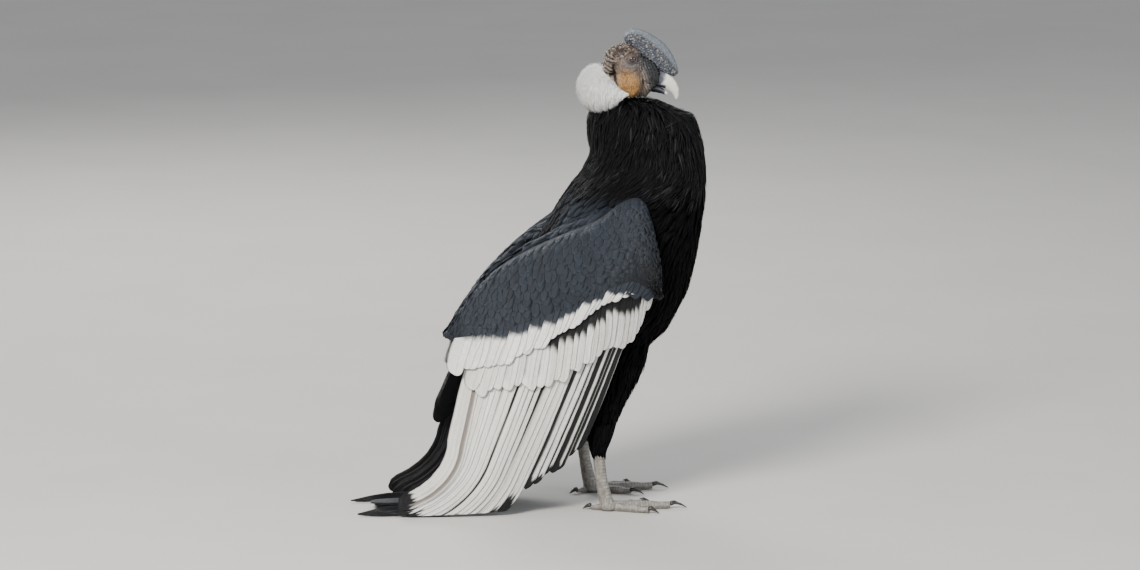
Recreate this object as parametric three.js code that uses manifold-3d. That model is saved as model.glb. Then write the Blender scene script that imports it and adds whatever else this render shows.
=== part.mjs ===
// Andean condor, adult male, standing with folded wings, life size.
// Millimetres. +X is the way the bird faces, +Y is its left, +Z is up and the floor is at z = 0.
import * as THREE from "three";
import { mergeVertices } from "three/addons/utils/BufferGeometryUtils.js";
import Module from "manifold-3d";

const wasm = await Module();
wasm.setup();

// Driving sizes
const GAP = 0.3; // clearance between two neighbouring pieces
const LEAN = THREE.MathUtils.degToRad(32); // lean of the folded wing and back, from the vertical
const CHEST = { x: 60, z: 580 }; // where the lean line starts, at the height of the shoulder
const BEND_START = 565; // distance down the lean line where wing tips and tail start to curve
const BEND_RADIUS = 160; // radius of that curve, which lays the tips on the floor
const BEND_END_ANGLE = THREE.MathUtils.degToRad(80);
const VANE_THICK = 0.9;
const COVERT_THICK = 0.8;
const MIDLINE_CLEAR = 0.4; // each folded wing stops this far from the bird's middle plane
const LEG_Y = 86; // half the distance between the feet
const EYE = { x: 54, y: 30, z: 841, radius: 9 };

// Numbers drawn from a fixed seed, so that the model is the same each time.
function seeded(seed) {
  let state = seed;
  return () => {
    state = (state * 1664525 + 1013904223) % 4294967296;
    return state / 4294967296;
  };
}

// Smooth value at x through knots [x, value], flat past both ends.
function along(knots, x) {
  const last = knots.length - 1;
  if (x <= knots[0][0]) return knots[0][1];
  if (x >= knots[last][0]) return knots[last][1];
  let i = 0;
  while (x > knots[i + 1][0]) i++;
  const slope = (k) => {
    const before = knots[Math.max(k - 1, 0)];
    const after = knots[Math.min(k + 1, last)];
    return (after[1] - before[1]) / (after[0] - before[0]);
  };
  const [x0, y0] = knots[i];
  const [x1, y1] = knots[i + 1];
  const h = x1 - x0;
  const t = (x - x0) / h;
  const t2 = t * t;
  const t3 = t2 * t;
  return (
    y0 * (2 * t3 - 3 * t2 + 1) +
    slope(i) * h * (t3 - 2 * t2 + t) +
    y1 * (3 * t2 - 2 * t3) +
    slope(i + 1) * h * (t3 - t2)
  );
}

// Point at share t of a smooth plane curve through [a, b] pairs.
function onCurve(points, t) {
  const knots = (k) => points.map((p, i) => [i / (points.length - 1), p[k]]);
  return [along(knots(0), t), along(knots(1), t)];
}

function toSolid(geometry) {
  const bare = new THREE.BufferGeometry();
  bare.setAttribute("position", geometry.getAttribute("position"));
  bare.setIndex(geometry.index);
  const merged = mergeVertices(bare, 1e-4);
  return new wasm.Manifold(
    new wasm.Mesh({
      numProp: 3,
      vertProperties: merged.attributes.position.array,
      triVerts: new Uint32Array(merged.index.array),
    }),
  );
}

function toGeometry(solid) {
  const mesh = solid.getMesh();
  const places = new Float32Array(mesh.numVert * 3);
  for (let i = 0; i < mesh.numVert; i++) {
    places.set(mesh.vertProperties.subarray(i * mesh.numProp, i * mesh.numProp + 3), i * 3);
  }
  const geometry = new THREE.BufferGeometry();
  geometry.setAttribute("position", new THREE.BufferAttribute(places, 3));
  geometry.setIndex(new THREE.BufferAttribute(new Uint32Array(mesh.triVerts), 1));
  geometry.computeVertexNormals();
  return geometry;
}

const unite = (solids) => solids.reduce((whole, piece) => whole.add(piece));
const cutBy = (solid, cutters) => cutters.reduce((whole, cutter) => whole.subtract(cutter), solid);

// A node keeps only its largest closed surface.
function largest(solid) {
  const pieces = solid.decompose();
  return pieces.reduce((best, piece) => (piece.volume() > best.volume() ? piece : best));
}

function closedGeometry(points, faces) {
  const geometry = new THREE.BufferGeometry().setFromPoints(points);
  geometry.setIndex(faces);
  return geometry;
}

// Closed skin over rings of equal point counts. Faces in `flipped` columns are split the other way.
function skinRings(rings, flipped = []) {
  const count = rings[0].length;
  const points = rings.flat();
  const faces = [];
  for (let i = 0; i + 1 < rings.length; i++) {
    for (let j = 0; j < count; j++) {
      const a = i * count + j;
      const b = i * count + ((j + 1) % count);
      const c = a + count;
      const d = b + count;
      if (flipped.includes(j)) faces.push(a, b, c, b, d, c);
      else faces.push(a, b, d, a, d, c);
    }
  }
  const middle = (ring) => ring.reduce((sum, p) => sum.add(p), new THREE.Vector3()).divideScalar(count);
  const first = points.push(middle(rings[0])) - 1;
  const final = points.push(middle(rings[rings.length - 1])) - 1;
  const lastRing = (rings.length - 1) * count;
  for (let j = 0; j < count; j++) {
    faces.push(first, (j + 1) % count, j);
    faces.push(final, lastRing + j, lastRing + ((j + 1) % count));
  }
  return closedGeometry(points, faces);
}

// Faces turned outwards, whichever way the rings were drawn.
function outward(geometry) {
  const p = geometry.getAttribute("position");
  const index = geometry.index.array;
  const [a, b, c] = [new THREE.Vector3(), new THREE.Vector3(), new THREE.Vector3()];
  let volume = 0;
  for (let i = 0; i < index.length; i += 3) {
    a.fromBufferAttribute(p, index[i]);
    b.fromBufferAttribute(p, index[i + 1]);
    c.fromBufferAttribute(p, index[i + 2]);
    volume += a.dot(b.cross(c));
  }
  if (volume < 0) {
    for (let i = 0; i < index.length; i += 3) {
      [index[i + 1], index[i + 2]] = [index[i + 2], index[i + 1]];
    }
  }
  return geometry;
}

// Round body through stations [x, y, z, radius in the plane of the path, radius across it].
function loft(stations, { sides = 12, rings = 10, grow = 0, lateral = [0, 1, 0] } = {}) {
  const path = new THREE.CatmullRomCurve3(stations.map(([x, y, z]) => new THREE.Vector3(x, y, z)));
  const reference = new THREE.Vector3(...lateral);
  const knots = (k) => stations.map((s, i) => [i / (stations.length - 1), s[k]]);
  const [deep, wide] = [knots(3), knots(4)];
  const made = [];
  for (let i = 0; i <= rings; i++) {
    const t = i / rings;
    const tangent = path.getTangent(t);
    const centre = path.getPoint(t);
    if (i === 0) centre.addScaledVector(tangent, -grow);
    if (i === rings) centre.addScaledVector(tangent, grow);
    const across = reference.clone().addScaledVector(tangent, -reference.dot(tangent)).normalize();
    const plane = new THREE.Vector3().crossVectors(across, tangent);
    const ring = [];
    for (let j = 0; j < sides; j++) {
      const angle = (2 * Math.PI * j) / sides;
      ring.push(
        centre
          .clone()
          .addScaledVector(plane, Math.cos(angle) * (along(deep, t) + grow))
          .addScaledVector(across, Math.sin(angle) * (along(wide, t) + grow)),
      );
    }
    made.push(ring);
  }
  return toSolid(outward(skinRings(made)));
}

// Ellipsoid. pitch turns it nose-down in the bird's own plane, in degrees.
function blob([x, y, z], [rx, ry, rz], { pitch = 0, yaw = 0, grow = 0, detail = 12 } = {}) {
  const geometry = new THREE.SphereGeometry(1, detail, Math.round(detail * 0.7));
  geometry.scale(rx + grow, ry + grow, rz + grow);
  geometry.rotateY(THREE.MathUtils.degToRad(pitch));
  geometry.rotateZ(THREE.MathUtils.degToRad(yaw));
  geometry.translate(x, y, z);
  return toSolid(geometry);
}

// Flat tapered strip. place(t, c, h) gives the point at share t of its length, c across from -1 to 1,
// and h above its middle surface. Both faces are split alike.
function vane(place, steps, thick) {
  const half = thick / 2;
  const corners = [[-1, half], [1, half], [1, -half], [-1, -half]];
  const rings = steps.map((t) => corners.map(([c, h]) => place(t, c, h)));
  return toSolid(outward(skinRings(rings, [2])));
}

// Closed pad over a square grid: at(u, v, side) gives its outer surface at side 1 and its inner at side 0.
function pad(at, across, down) {
  const points = [];
  const faces = [];
  const id = (side, i, j) => (side * (down + 1) + i) * (across + 1) + j;
  for (const side of [0, 1]) {
    for (let i = 0; i <= down; i++) {
      for (let j = 0; j <= across; j++) points.push(at(j / across, i / down, side));
    }
  }
  const quad = (a, b, c, d) => faces.push(a, b, c, a, c, d);
  for (let i = 0; i < down; i++) {
    for (let j = 0; j < across; j++) {
      quad(id(1, i, j), id(1, i + 1, j), id(1, i + 1, j + 1), id(1, i, j + 1));
      faces.push(id(0, i, j), id(0, i + 1, j + 1), id(0, i + 1, j));
      faces.push(id(0, i, j), id(0, i, j + 1), id(0, i + 1, j + 1));
    }
  }
  for (let j = 0; j < across; j++) {
    quad(id(0, 0, j), id(1, 0, j), id(1, 0, j + 1), id(0, 0, j + 1));
    quad(id(0, down, j), id(0, down, j + 1), id(1, down, j + 1), id(1, down, j));
  }
  for (let i = 0; i < down; i++) {
    quad(id(0, i, 0), id(0, i + 1, 0), id(1, i + 1, 0), id(1, i, 0));
    quad(id(0, i, across), id(1, i, across), id(1, i + 1, across), id(0, i + 1, across));
  }
  return toSolid(outward(closedGeometry(points, faces)));
}

// The lean line. s runs down it from the chest, n is the distance from it towards the back. Past
// BEND_START it curves back, so that what hangs lower than the feet lies along the floor.
const BEND_LENGTH = BEND_RADIUS * (BEND_END_ANGLE - LEAN);

function leanFrame(s) {
  const straight = Math.min(s, BEND_START);
  const centre = { x: CHEST.x - Math.sin(LEAN) * straight, z: CHEST.z - Math.cos(LEAN) * straight };
  if (s <= BEND_START) return { ...centre, angle: LEAN };
  const arc = Math.min(s - BEND_START, BEND_LENGTH);
  const angle = LEAN + arc / BEND_RADIUS;
  centre.x += BEND_RADIUS * (Math.cos(angle) - Math.cos(LEAN));
  centre.z -= BEND_RADIUS * (Math.sin(angle) - Math.sin(LEAN));
  const rest = s - BEND_START - arc;
  return { x: centre.x - Math.sin(angle) * rest, z: centre.z - Math.cos(angle) * rest, angle };
}

function floorOffset(s, height) {
  const f = leanFrame(s);
  return (height - f.z) / Math.sin(f.angle);
}

// The larger of two values, with the corner between them rounded over `soft`.
const smoothMax = (a, b, soft) => (a + b + Math.sqrt((a - b) ** 2 + soft * soft)) / 2;

// The folded wing lies on a curved sheet over the flank: its half-width by s, and its crown line.
const SHEET_HALF_WIDTH = [[-60, 140], [0, 163], [80, 177], [170, 180], [260, 173], [360, 162], [460, 148],
  [560, 130], [660, 114], [830, 100]];
const SHEET_CROWN = [[-40, -5], [200, -30], [400, -60], [600, -60], [830, -40]];
const SHEET_REACH = 222; // distance from the crown line at which the sheet would close over the back
const SHEET_CURL = 1.5; // how far round the sheet has turned there, in radians
const FLOOR_CLEAR = 4.6; // height of the sheet over the floor where the wing tips lie along it

function sheetY(s, n) {
  return along(SHEET_HALF_WIDTH, s) * Math.cos((SHEET_CURL * (n - along(SHEET_CROWN, s))) / SHEET_REACH);
}

function sheetPoint(s, n, out, side) {
  const f = leanFrame(s);
  const lifted = s > BEND_START ? smoothMax(n, floorOffset(s, FLOOR_CLEAR), 3) : n;
  const step = 2;
  const slopeN = (sheetY(s, n + step) - sheetY(s, n - step)) / (2 * step);
  const slopeS = (sheetY(s + step, n) - sheetY(s - step, n)) / (2 * step);
  const length = Math.hypot(1, slopeN, slopeS);
  const [towardsN, towardsS, y] = [(-slopeN / length) * out, (-slopeS / length) * out, out / length];
  const nn = lifted + towardsN;
  return new THREE.Vector3(
    f.x - Math.cos(f.angle) * nn - Math.sin(f.angle) * towardsS,
    side * (sheetY(s, n) + y),
    f.z + Math.sin(f.angle) * nn - Math.cos(f.angle) * towardsS,
  );
}

// Torso and feathered neck, one loft parted by a thin cut.
const BODY = [
  [-222, 0, 168, 22, 30],
  [-172, 0, 232, 62, 66],
  [-90, 0, 318, 116, 112],
  [2, 0, 412, 153, 140],
  [50, 0, 512, 143, 148],
  [82, 0, 600, 120, 142],
  [88, 0, 670, 108, 116],
  [75, 0, 712, 103, 98],
  [72, 0, 738, 96, 84],
  [74, 0, 756, 68, 64],
  [76, 0, 767, 32, 34],
];
const NECK_CUT = { normal: new THREE.Vector3(-0.1, 0, 1).normalize(), height: 655 };

const body = (grow = 0) => loft(BODY, { sides: 16, rings: 20, grow });

function bodyHalf(upper, grow = 0) {
  const { normal, height } = NECK_CUT;
  const sign = upper ? 1 : -1;
  const margin = GAP / 2 - grow;
  return body(grow).trimByPlane([sign * normal.x, 0, sign * normal.z], sign * height * normal.z + margin);
}

// The wing's dark pad of small coverts lies between its upper edge and the line where the white starts.
const PAD_UPPER = [[124, -106], [88, -90], [48, -60], [8, -18], [-14, 20], [12, 50], [66, 74], [130, 114],
  [192, 146], [256, 168], [330, 174], [396, 166]];
const PAD_LOWER = [[130, -100], [131, -80], [136, -46], [176, -15], [216, 7], [252, 30], [306, 68],
  [350, 98], [380, 128], [400, 158]];
const PAD_BULGE = 9;

function wingPad(side) {
  const at = (u, v, outer) => {
    const [s0, n0] = onCurve(PAD_UPPER, u);
    const [s1, n1] = onCurve(PAD_LOWER, u);
    const s = THREE.MathUtils.lerp(s0, s1, v);
    const n = THREE.MathUtils.lerp(n0, n1, v);
    const rim = Math.min(1, v / 0.22);
    const top = -13 * (1 - rim) ** 2 + PAD_BULGE * Math.sin(Math.PI * Math.min(1, v)) - 1;
    const depth = along([[60, -46], [200, -34], [300, -26]], s);
    const under = THREE.MathUtils.lerp(-18, depth, Math.min(1, v / 0.3));
    return sheetPoint(s, n, outer ? top : under, side);
  };
  return pad(at, 11, 4);
}

// Shares of a vane's length where it is bent: its middle, where the lean line curves, and its tip.
const BEND_STEPS = [0, 0.33, 0.67, 1].map((t) => BEND_START + BEND_LENGTH * t);

function vaneSteps(rootS, tipS) {
  const share = (s) => (s - rootS) / (tipS - rootS);
  const bends = BEND_STEPS.map(share).filter((t) => t > 0.1 && t < 0.88);
  return [0, ...(bends[0] < 0.5 ? [] : [0.45]), ...bends, 0.94, 1];
}

// One feather row on the wing sheet. Roots and tips run along two curves; each vane is tilted so that
// its front edge lies over the next one, and `stack` sets each one deeper than the last.
function featherRow(side, row) {
  const random = seeded(row.seed + (side > 0 ? 50 : 0));
  const vanes = [];
  for (let i = 0; i < row.count; i++) {
    const place = i / (row.count - 1);
    const [rs, rn] = onCurve(row.roots, place);
    const [ts, tn] = onCurve(row.tips, place);
    const reach = Math.hypot(ts - rs, tn - rn);
    const [ds, dn] = [(ts - rs) / reach, (tn - rn) / reach];
    const long = reach + (random() - 0.5) * row.vary;
    const half = row.half * (0.94 + 0.12 * random());
    const depth = row.depth - row.stack * i;
    const at = (t, c, h) => {
      const bow = row.bow * Math.sin(Math.PI * t);
      const across = c * half * along(row.outline, t);
      const s = rs + ds * long * t + dn * (across + bow);
      const n = rn + dn * long * t - ds * (across + bow);
      return sheetPoint(s, n, depth + row.tilt * across + h, side);
    };
    vanes.push(vane(at, vaneSteps(rs, ts), row.thick));
  }
  return vanes;
}

const ROUND_TIP = [[0, 0.6], [0.25, 0.85], [0.55, 1], [0.85, 0.93], [0.95, 0.66], [1, 0.3]];
const NARROW_TIP = [[0, 0.7], [0.4, 1], [0.75, 0.85], [0.92, 0.55], [1, 0.22]];

const WING_ROWS = [
  { // white-tipped median coverts
    roots: [[118, -92], [112, -44], [165, 2], [228, 45], [300, 92], [350, 148]],
    tips: [[152, -84], [176, -34], [252, 4], [332, 36], [400, 74], [452, 128]],
    count: 8, half: 29, vary: 6, depth: -3, tilt: 0.1, stack: 0, bow: 0, thick: COVERT_THICK, seed: 11,
    outline: ROUND_TIP,
  },
  { // greater coverts, white with dark roots
    roots: [[112, -88], [112, -48], [160, -6], [215, 36], [275, 78], [328, 122]],
    tips: [[158, -100], [224, -108], [280, -68], [350, -30], [410, 22], [464, 88]],
    count: 9, half: 27, vary: 6, depth: -9.5, tilt: 0.11, stack: 0, bow: 0, thick: COVERT_THICK, seed: 23,
    outline: ROUND_TIP,
  },
  { // secondaries and tertials
    roots: [[118, -76], [142, -30], [196, 12], [256, 56], [310, 98], [352, 134]],
    tips: [[452, -146], [545, -112], [632, -76], [700, -42], [740, -14], [742, 6]],
    count: 11, half: 30, vary: 8, depth: -18.5, tilt: 0.16, stack: 0, bow: 0, thick: VANE_THICK, seed: 37,
    outline: ROUND_TIP,
  },
  { // primaries, one under the other below the secondaries
    roots: [[112, -84], [122, -66], [140, -50]],
    tips: [[690, -46], [780, -14], [822, 4]],
    count: 5, half: 24, vary: 6, depth: -28, tilt: 0.02, stack: 1.7, bow: 32, thick: VANE_THICK, seed: 41,
    outline: NARROW_TIP,
  },
  { // innermost tertials, on the left wing only, where they stand out behind
    roots: [[312, 122], [334, 134]],
    tips: [[556, 96], [524, 106]],
    count: 2, half: 27, vary: 0, depth: -25, tilt: 0, stack: 1.7, bow: 0, thick: VANE_THICK, seed: 47,
    outline: ROUND_TIP, onlySide: 1,
  },
];

function wing(side) {
  const rows = WING_ROWS.filter((row) => !row.onlySide || row.onlySide === side);
  const whole = unite([wingPad(side), ...rows.flatMap((row) => featherRow(side, row))]);
  return whole.trimByPlane([0, side, 0], MIDLINE_CLEAR);
}

// Tail: twelve long feathers, the middle pair on top, that come down between the wings and lie flat.
const TAIL = { count: 12, rootS: 432, tipS: 792, half: 25, stack: 1.25, rest: -0.1 };
const TAIL_GAP = { root: 5, tip: 7.5 }; // distance from one shaft to the next
const TAIL_STEPS = [0, 0.28, 0.46, 0.58, 0.7, 0.92, 1];

function tailPath(s) {
  const free = -46 - (s - TAIL.rootS) * 0.22;
  return smoothMax(free, floorOffset(s, TAIL.rest), 12);
}

function tail() {
  const random = seeded(5);
  const middle = (TAIL.count - 1) / 2;
  const feathers = [];
  for (let i = 0; i < TAIL.count; i++) {
    const from = i - middle;
    const order = 2 * (middle - Math.abs(from)) + (from > 0 ? 1 : 0);
    const long = TAIL.tipS - TAIL.rootS - 3.5 * Math.abs(from) + (random() - 0.5) * 6;
    const at = (t, c, h) => {
      const s = TAIL.rootS + long * t;
      const f = leanFrame(s);
      const n = tailPath(s) + TAIL.stack * order + VANE_THICK / 2 + h;
      const shaft = from * THREE.MathUtils.lerp(TAIL_GAP.root, TAIL_GAP.tip, t);
      const y = shaft + c * TAIL.half * along(ROUND_TIP, t);
      return new THREE.Vector3(f.x - Math.cos(f.angle) * n, y, f.z + Math.sin(f.angle) * n);
    };
    feathers.push(vane(at, TAIL_STEPS, VANE_THICK));
  }
  const f = leanFrame(TAIL.rootS + 8);
  const rootN = tailPath(TAIL.rootS) + 6;
  const root = [f.x - Math.cos(f.angle) * rootN, 0, f.z + Math.sin(f.angle) * rootN];
  const rump = blob(root, [44, 46, 24], { pitch: -58, detail: 10 });
  return unite([rump, ...feathers]).trimByPlane([0, 0, 1], 0);
}

// Legs. side is -1 for the right and 1 for the left.
const THIGH = [[50, 56, 372, 46, 34], [27, 70, 282, 50, 37], [0, 80, 212, 38, 29],
  [-15, 85, 150, 27, 21], [-18, 87, 118, 17, 16]];
const SHANK = [[-20, 87, 126, 10, 9], [-18, 87, 100, 11.5, 10.5], [-13, 86, 60, 11, 10],
  [-6, 86, 26, 13, 12], [-1, 86, 9, 14, 14]];
const CLAW = [[0, 4.6], [0.35, 4.2], [0.7, 2.8], [1, 0.8]];
const TOES = [
  { name: "middle", angle: 2, length: 118, radius: 9.5, claw: 36 },
  { name: "outer", angle: 30, length: 82, radius: 8.2, claw: 24 },
  { name: "inner", angle: -27, length: 78, radius: 8.5, claw: 30 },
  { name: "hind", angle: 200, length: 34, radius: 7, claw: 20 },
];

const mirrored = (stations, side) => stations.map(([x, y, z, a, b]) => [x, y * side, z, a, b]);
const thigh = (side, grow = 0) => loft(mirrored(THIGH, side), { sides: 14, rings: 8, grow });
const shank = (side, grow = 0) => loft(mirrored(SHANK, side), { sides: 10, rings: 6, grow });

function toePoint(toe, side, far, z) {
  const angle = THREE.MathUtils.degToRad(toe.angle) * side;
  return [Math.cos(angle) * far, side * LEG_Y + Math.sin(angle) * far, z];
}

function foot(side, grow = 0) {
  const pieces = TOES.map((toe) => {
    const joints = 7;
    const stations = [];
    for (let i = 0; i <= joints; i++) {
      const t = i / joints;
      const knuckle = 1 + 0.11 * (i % 2 ? 1 : -1);
      const r = toe.radius * knuckle * (1.08 - 0.22 * t);
      stations.push([...toePoint(toe, side, toe.length * t, r * 0.86), r, r]);
    }
    return loft(stations, { sides: 6, rings: 6, grow, lateral: [0, 0, 1] });
  });
  pieces.push(blob([1, side * LEG_Y, 9], [20, 18, 11], { grow, detail: 9 }));
  return unite(pieces).trimByPlane([0, 0, 1], 0);
}

function claw(side, toe) {
  const rise = toe.radius * 0.75;
  const stations = CLAW.map(([t, r]) => {
    const z = rise * (1.05 + 0.5 * Math.sin(Math.PI * Math.min(1, t * 1.2))) * (1 - t ** 3) + 1.4;
    return [...toePoint(toe, side, toe.length - 5 + toe.claw * t, z), r, r * 0.8];
  });
  return loft(stations, { sides: 6, rings: 3, lateral: [0, 0, 1] }).trimByPlane([0, 0, 1], 0.1);
}

// Head: skull, face, cheeks, throat and nape folds, fused.
const HEAD_FORMS = [
  { at: [46, 0, 830], r: [42, 35, 35], pitch: 30 }, // skull
  { at: [80, 0, 812], r: [38, 23, 29], pitch: 42 }, // face
  { at: [36, 0, 788], r: [35, 37, 36], pitch: 10 }, // bare upper neck
  { at: [74, 0, 786], r: [24, 19, 26], pitch: 40 }, // throat
];
const HEAD_SIDE_FORMS = [
  { at: [55, 17, 793], r: [22, 21, 33], pitch: 8 }, // cheek
  { at: [55, 22, 855], r: [20, 10, 8], pitch: 22 }, // brow
  { at: [54, 25, 842], r: [13, 11, 12], pitch: 0 }, // lids
  { at: [24, 20, 838], r: [16, 15, 12], pitch: -20 }, // upper nape fold
  { at: [12, 17, 822], r: [13, 16, 9], pitch: -25 }, // middle nape fold
  { at: [6, 15, 804], r: [13, 18, 9], pitch: -25 }, // lower nape fold
  { at: [86, 12, 790], r: [15, 9, 17], pitch: 40 }, // gape fold
];

function head(grow = 0) {
  const pieces = HEAD_FORMS.map((f) => blob(f.at, f.r, { pitch: f.pitch, grow, detail: 11 }));
  for (const side of [-1, 1]) {
    for (const f of HEAD_SIDE_FORMS) {
      const [x, y, z] = f.at;
      pieces.push(blob([x, y * side, z], f.r, { pitch: f.pitch, grow, detail: 7 }));
    }
  }
  return unite(pieces);
}

function eye(side, grow = 0) {
  const { x, y, z, radius } = EYE;
  return blob([x, side * y, z], [radius, radius, radius], { grow, detail: 10 });
}

const COMB = [[46, 0, 873, 8, 4.5], [57, 0, 878, 17, 7], [71, 0, 873, 21, 8.5], [87, 0, 860, 25, 10],
  [103, 0, 845, 27, 11], [119, 0, 830, 23, 11], [134, 0, 816, 15, 9], [144, 0, 807, 6, 5]];
const BILL_UPPER = [[80, 0, 810, 17, 13], [100, 0, 804, 18, 12.5], [117, 0, 798, 15.5, 11],
  [132, 0, 788, 12.5, 8.8], [142, 0, 774, 8, 5.6], [144, 0, 759, 2.2, 1.6]];
const BILL_LOWER = [[78, 0, 787, 9, 11], [96, 0, 783, 8.5, 10], [112, 0, 778, 6.5, 8.5],
  [126, 0, 770, 3, 5]];

const comb = () => loft(COMB, { sides: 12, rings: 12 });
const billUpper = (grow = 0) => loft(BILL_UPPER, { sides: 10, rings: 9, grow });
const billLower = () => loft(BILL_LOWER, { sides: 8, rings: 5 });

// The line of the mouth behind the bill, and the two nostrils.
function pairOf([x, y, z], radii, pitch) {
  return unite([-1, 1].map((side) => blob([x, side * y, z], radii, { pitch, detail: 9 })));
}
const mouthLine = () => pairOf([88, 19, 793], [15, 8, 1.1], 24);
const nostrils = () => pairOf([106, 14, 806], [5.5, 4.2, 2.6], 28);

// White down collar, deep behind and thin at the sides, open at the throat.
const RUFF_ARC = THREE.MathUtils.degToRad(102);
const RUFF_CENTRE = { x: 42, z: 776 };
const RUFF_RADIUS = [[0, 48], [0.5, 54], [1, 52]];
const RUFF_RISE = [[0, 9], [0.5, 2], [1, 2]];
const RUFF_CORE = [[0, 20], [0.35, 16], [0.7, 10], [1, 5]];
const RUFF_REACH = [[0, 44], [0.35, 36], [0.7, 23], [1, 10]];
const RUFF_FLAT = 0.84; // its reach outwards against its reach up and down
const RUFF_TIERS = [-56, -6, 44, 96];
const RUFF_COLUMNS = 9;

function ruffCentre(angle) {
  const share = Math.abs(angle) / RUFF_ARC;
  const radius = along(RUFF_RADIUS, share);
  const x = RUFF_CENTRE.x - Math.cos(angle) * radius;
  return new THREE.Vector3(x, Math.sin(angle) * radius, RUFF_CENTRE.z + along(RUFF_RISE, share));
}

function ruffCore() {
  const stations = [];
  const parts = 10;
  for (let i = 0; i <= parts; i++) {
    const angle = RUFF_ARC * ((2 * i) / parts - 1);
    const r = along(RUFF_CORE, Math.abs(angle) / RUFF_ARC);
    const p = ruffCentre(angle);
    stations.push([p.x, p.y, p.z, r * RUFF_FLAT, r]);
  }
  return loft(stations, { sides: 8, rings: 10, lateral: [0, 0, 1] });
}

function ruffLock(angle, tier, random) {
  const share = Math.abs(angle) / RUFF_ARC;
  const centre = ruffCentre(angle);
  const away = new THREE.Vector3(-Math.cos(angle), Math.sin(angle), 0);
  const sideways = new THREE.Vector3(Math.sin(angle), Math.cos(angle), 0);
  const start = THREE.MathUtils.degToRad(tier + (random() - 0.5) * 10);
  const from = along(RUFF_CORE, share) * 0.5;
  const to = along(RUFF_REACH, share) * (0.94 + 0.14 * random());
  const half = along([[0, 14], [1, 9]], share);
  const skew = (random() - 0.5) * 9;
  const at = (t, c, h) => {
    const turn = start - 0.55 * t;
    const reach = THREE.MathUtils.lerp(from, to, Math.sin((Math.PI / 2) * t)) + h;
    return centre
      .clone()
      .addScaledVector(away, Math.cos(turn) * reach * RUFF_FLAT)
      .addScaledVector(sideways, c * half * along([[0, 0.8], [0.5, 1], [1, 0.35]], t) + skew * t)
      .setZ(centre.z + Math.sin(turn) * reach);
  };
  return vane(at, [0, 0.55, 1], 3.5);
}

function ruff() {
  const random = seeded(71);
  const pieces = [ruffCore()];
  for (let i = 0; i < RUFF_COLUMNS; i++) {
    const angle = RUFF_ARC * ((2 * i) / (RUFF_COLUMNS - 1) - 1) * 0.96;
    const tiers = Math.abs(angle) / RUFF_ARC > 0.7 ? RUFF_TIERS.slice(1, 3) : RUFF_TIERS;
    for (const tier of tiers) pieces.push(ruffLock(angle, tier, random));
  }
  return unite(pieces);
}

// Assembly. Each piece is cut clear of what it grows from by the same form made larger by the gap.
const paint = {
  plumage: ["#17181b", 0.75], wing: ["#2b3038", 0.7], down: ["#eeece6", 0.95], skin: ["#6f6258", 0.6],
  comb: ["#4f5358", 0.65], ivory: ["#e9e6dc", 0.35], eye: ["#4a2a18", 0.1], leg: ["#8d8a86", 0.7],
  horn: ["#3a3632", 0.4],
};
const condor = new THREE.Group();
condor.name = "andean_condor";

function addNode(name, solid, slot) {
  const [color, roughness] = paint[slot];
  const material = new THREE.MeshStandardMaterial({ color, roughness, metalness: 0 });
  const mesh = new THREE.Mesh(toGeometry(largest(solid)), material);
  mesh.name = name;
  condor.add(mesh);
}

const torsoClear = bodyHalf(false, GAP);
const neckClear = bodyHalf(true, GAP);
const bodyClear = body(GAP);
const headClear = head(GAP);
const eyesClear = [eye(-1, GAP), eye(1, GAP)];

addNode("torso", bodyHalf(false), "plumage");
addNode("neck", bodyHalf(true), "plumage");
addNode("head", cutBy(head(), [neckClear, ...eyesClear, mouthLine()]), "skin");
addNode("bill_upper", cutBy(billUpper(), [headClear, neckClear, nostrils()]), "ivory");
addNode("bill_lower", cutBy(billLower(), [headClear, neckClear, billUpper(GAP)]), "ivory");
addNode("comb", cutBy(comb(), [headClear, billUpper(GAP)]), "comb");
addNode("ruff", cutBy(ruff(), [neckClear, headClear]), "down");
addNode("tail", cutBy(tail(), [torsoClear]), "plumage");
for (const [side, word] of [[-1, "right"], [1, "left"]]) {
  addNode(`eye_${word}`, eye(side), "eye");
  addNode(`wing_${word}`, cutBy(wing(side), [bodyClear]), "wing");
  addNode(`thigh_${word}`, cutBy(thigh(side), [torsoClear]), "plumage");
  addNode(`shank_${word}`, cutBy(shank(side), [thigh(side, GAP)]), "leg");
  addNode(`foot_${word}`, cutBy(foot(side), [shank(side, GAP)]), "leg");
  for (const toe of TOES) {
    addNode(`claw_${toe.name}_${word}`, cutBy(claw(side, toe), [foot(side, GAP)]), "horn");
  }
}

// The origin is the middle of the floor area that the bird covers.
const reach = new THREE.Box3().setFromObject(condor);
const middle = reach.getCenter(new THREE.Vector3());
condor.position.set(-middle.x, -middle.y, -reach.min.z);

export default condor;
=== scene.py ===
"""Andean condor, adult male, standing with folded wings: skin, feathers, down, head, legs and a studio stage.

Metres in the frame's own axes: +X the way the bird faces, +Y its left, +Z up. The feather paths are written
in the bird's own millimetres, as its solids are, and turned into the frame by one step.
"""

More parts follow.
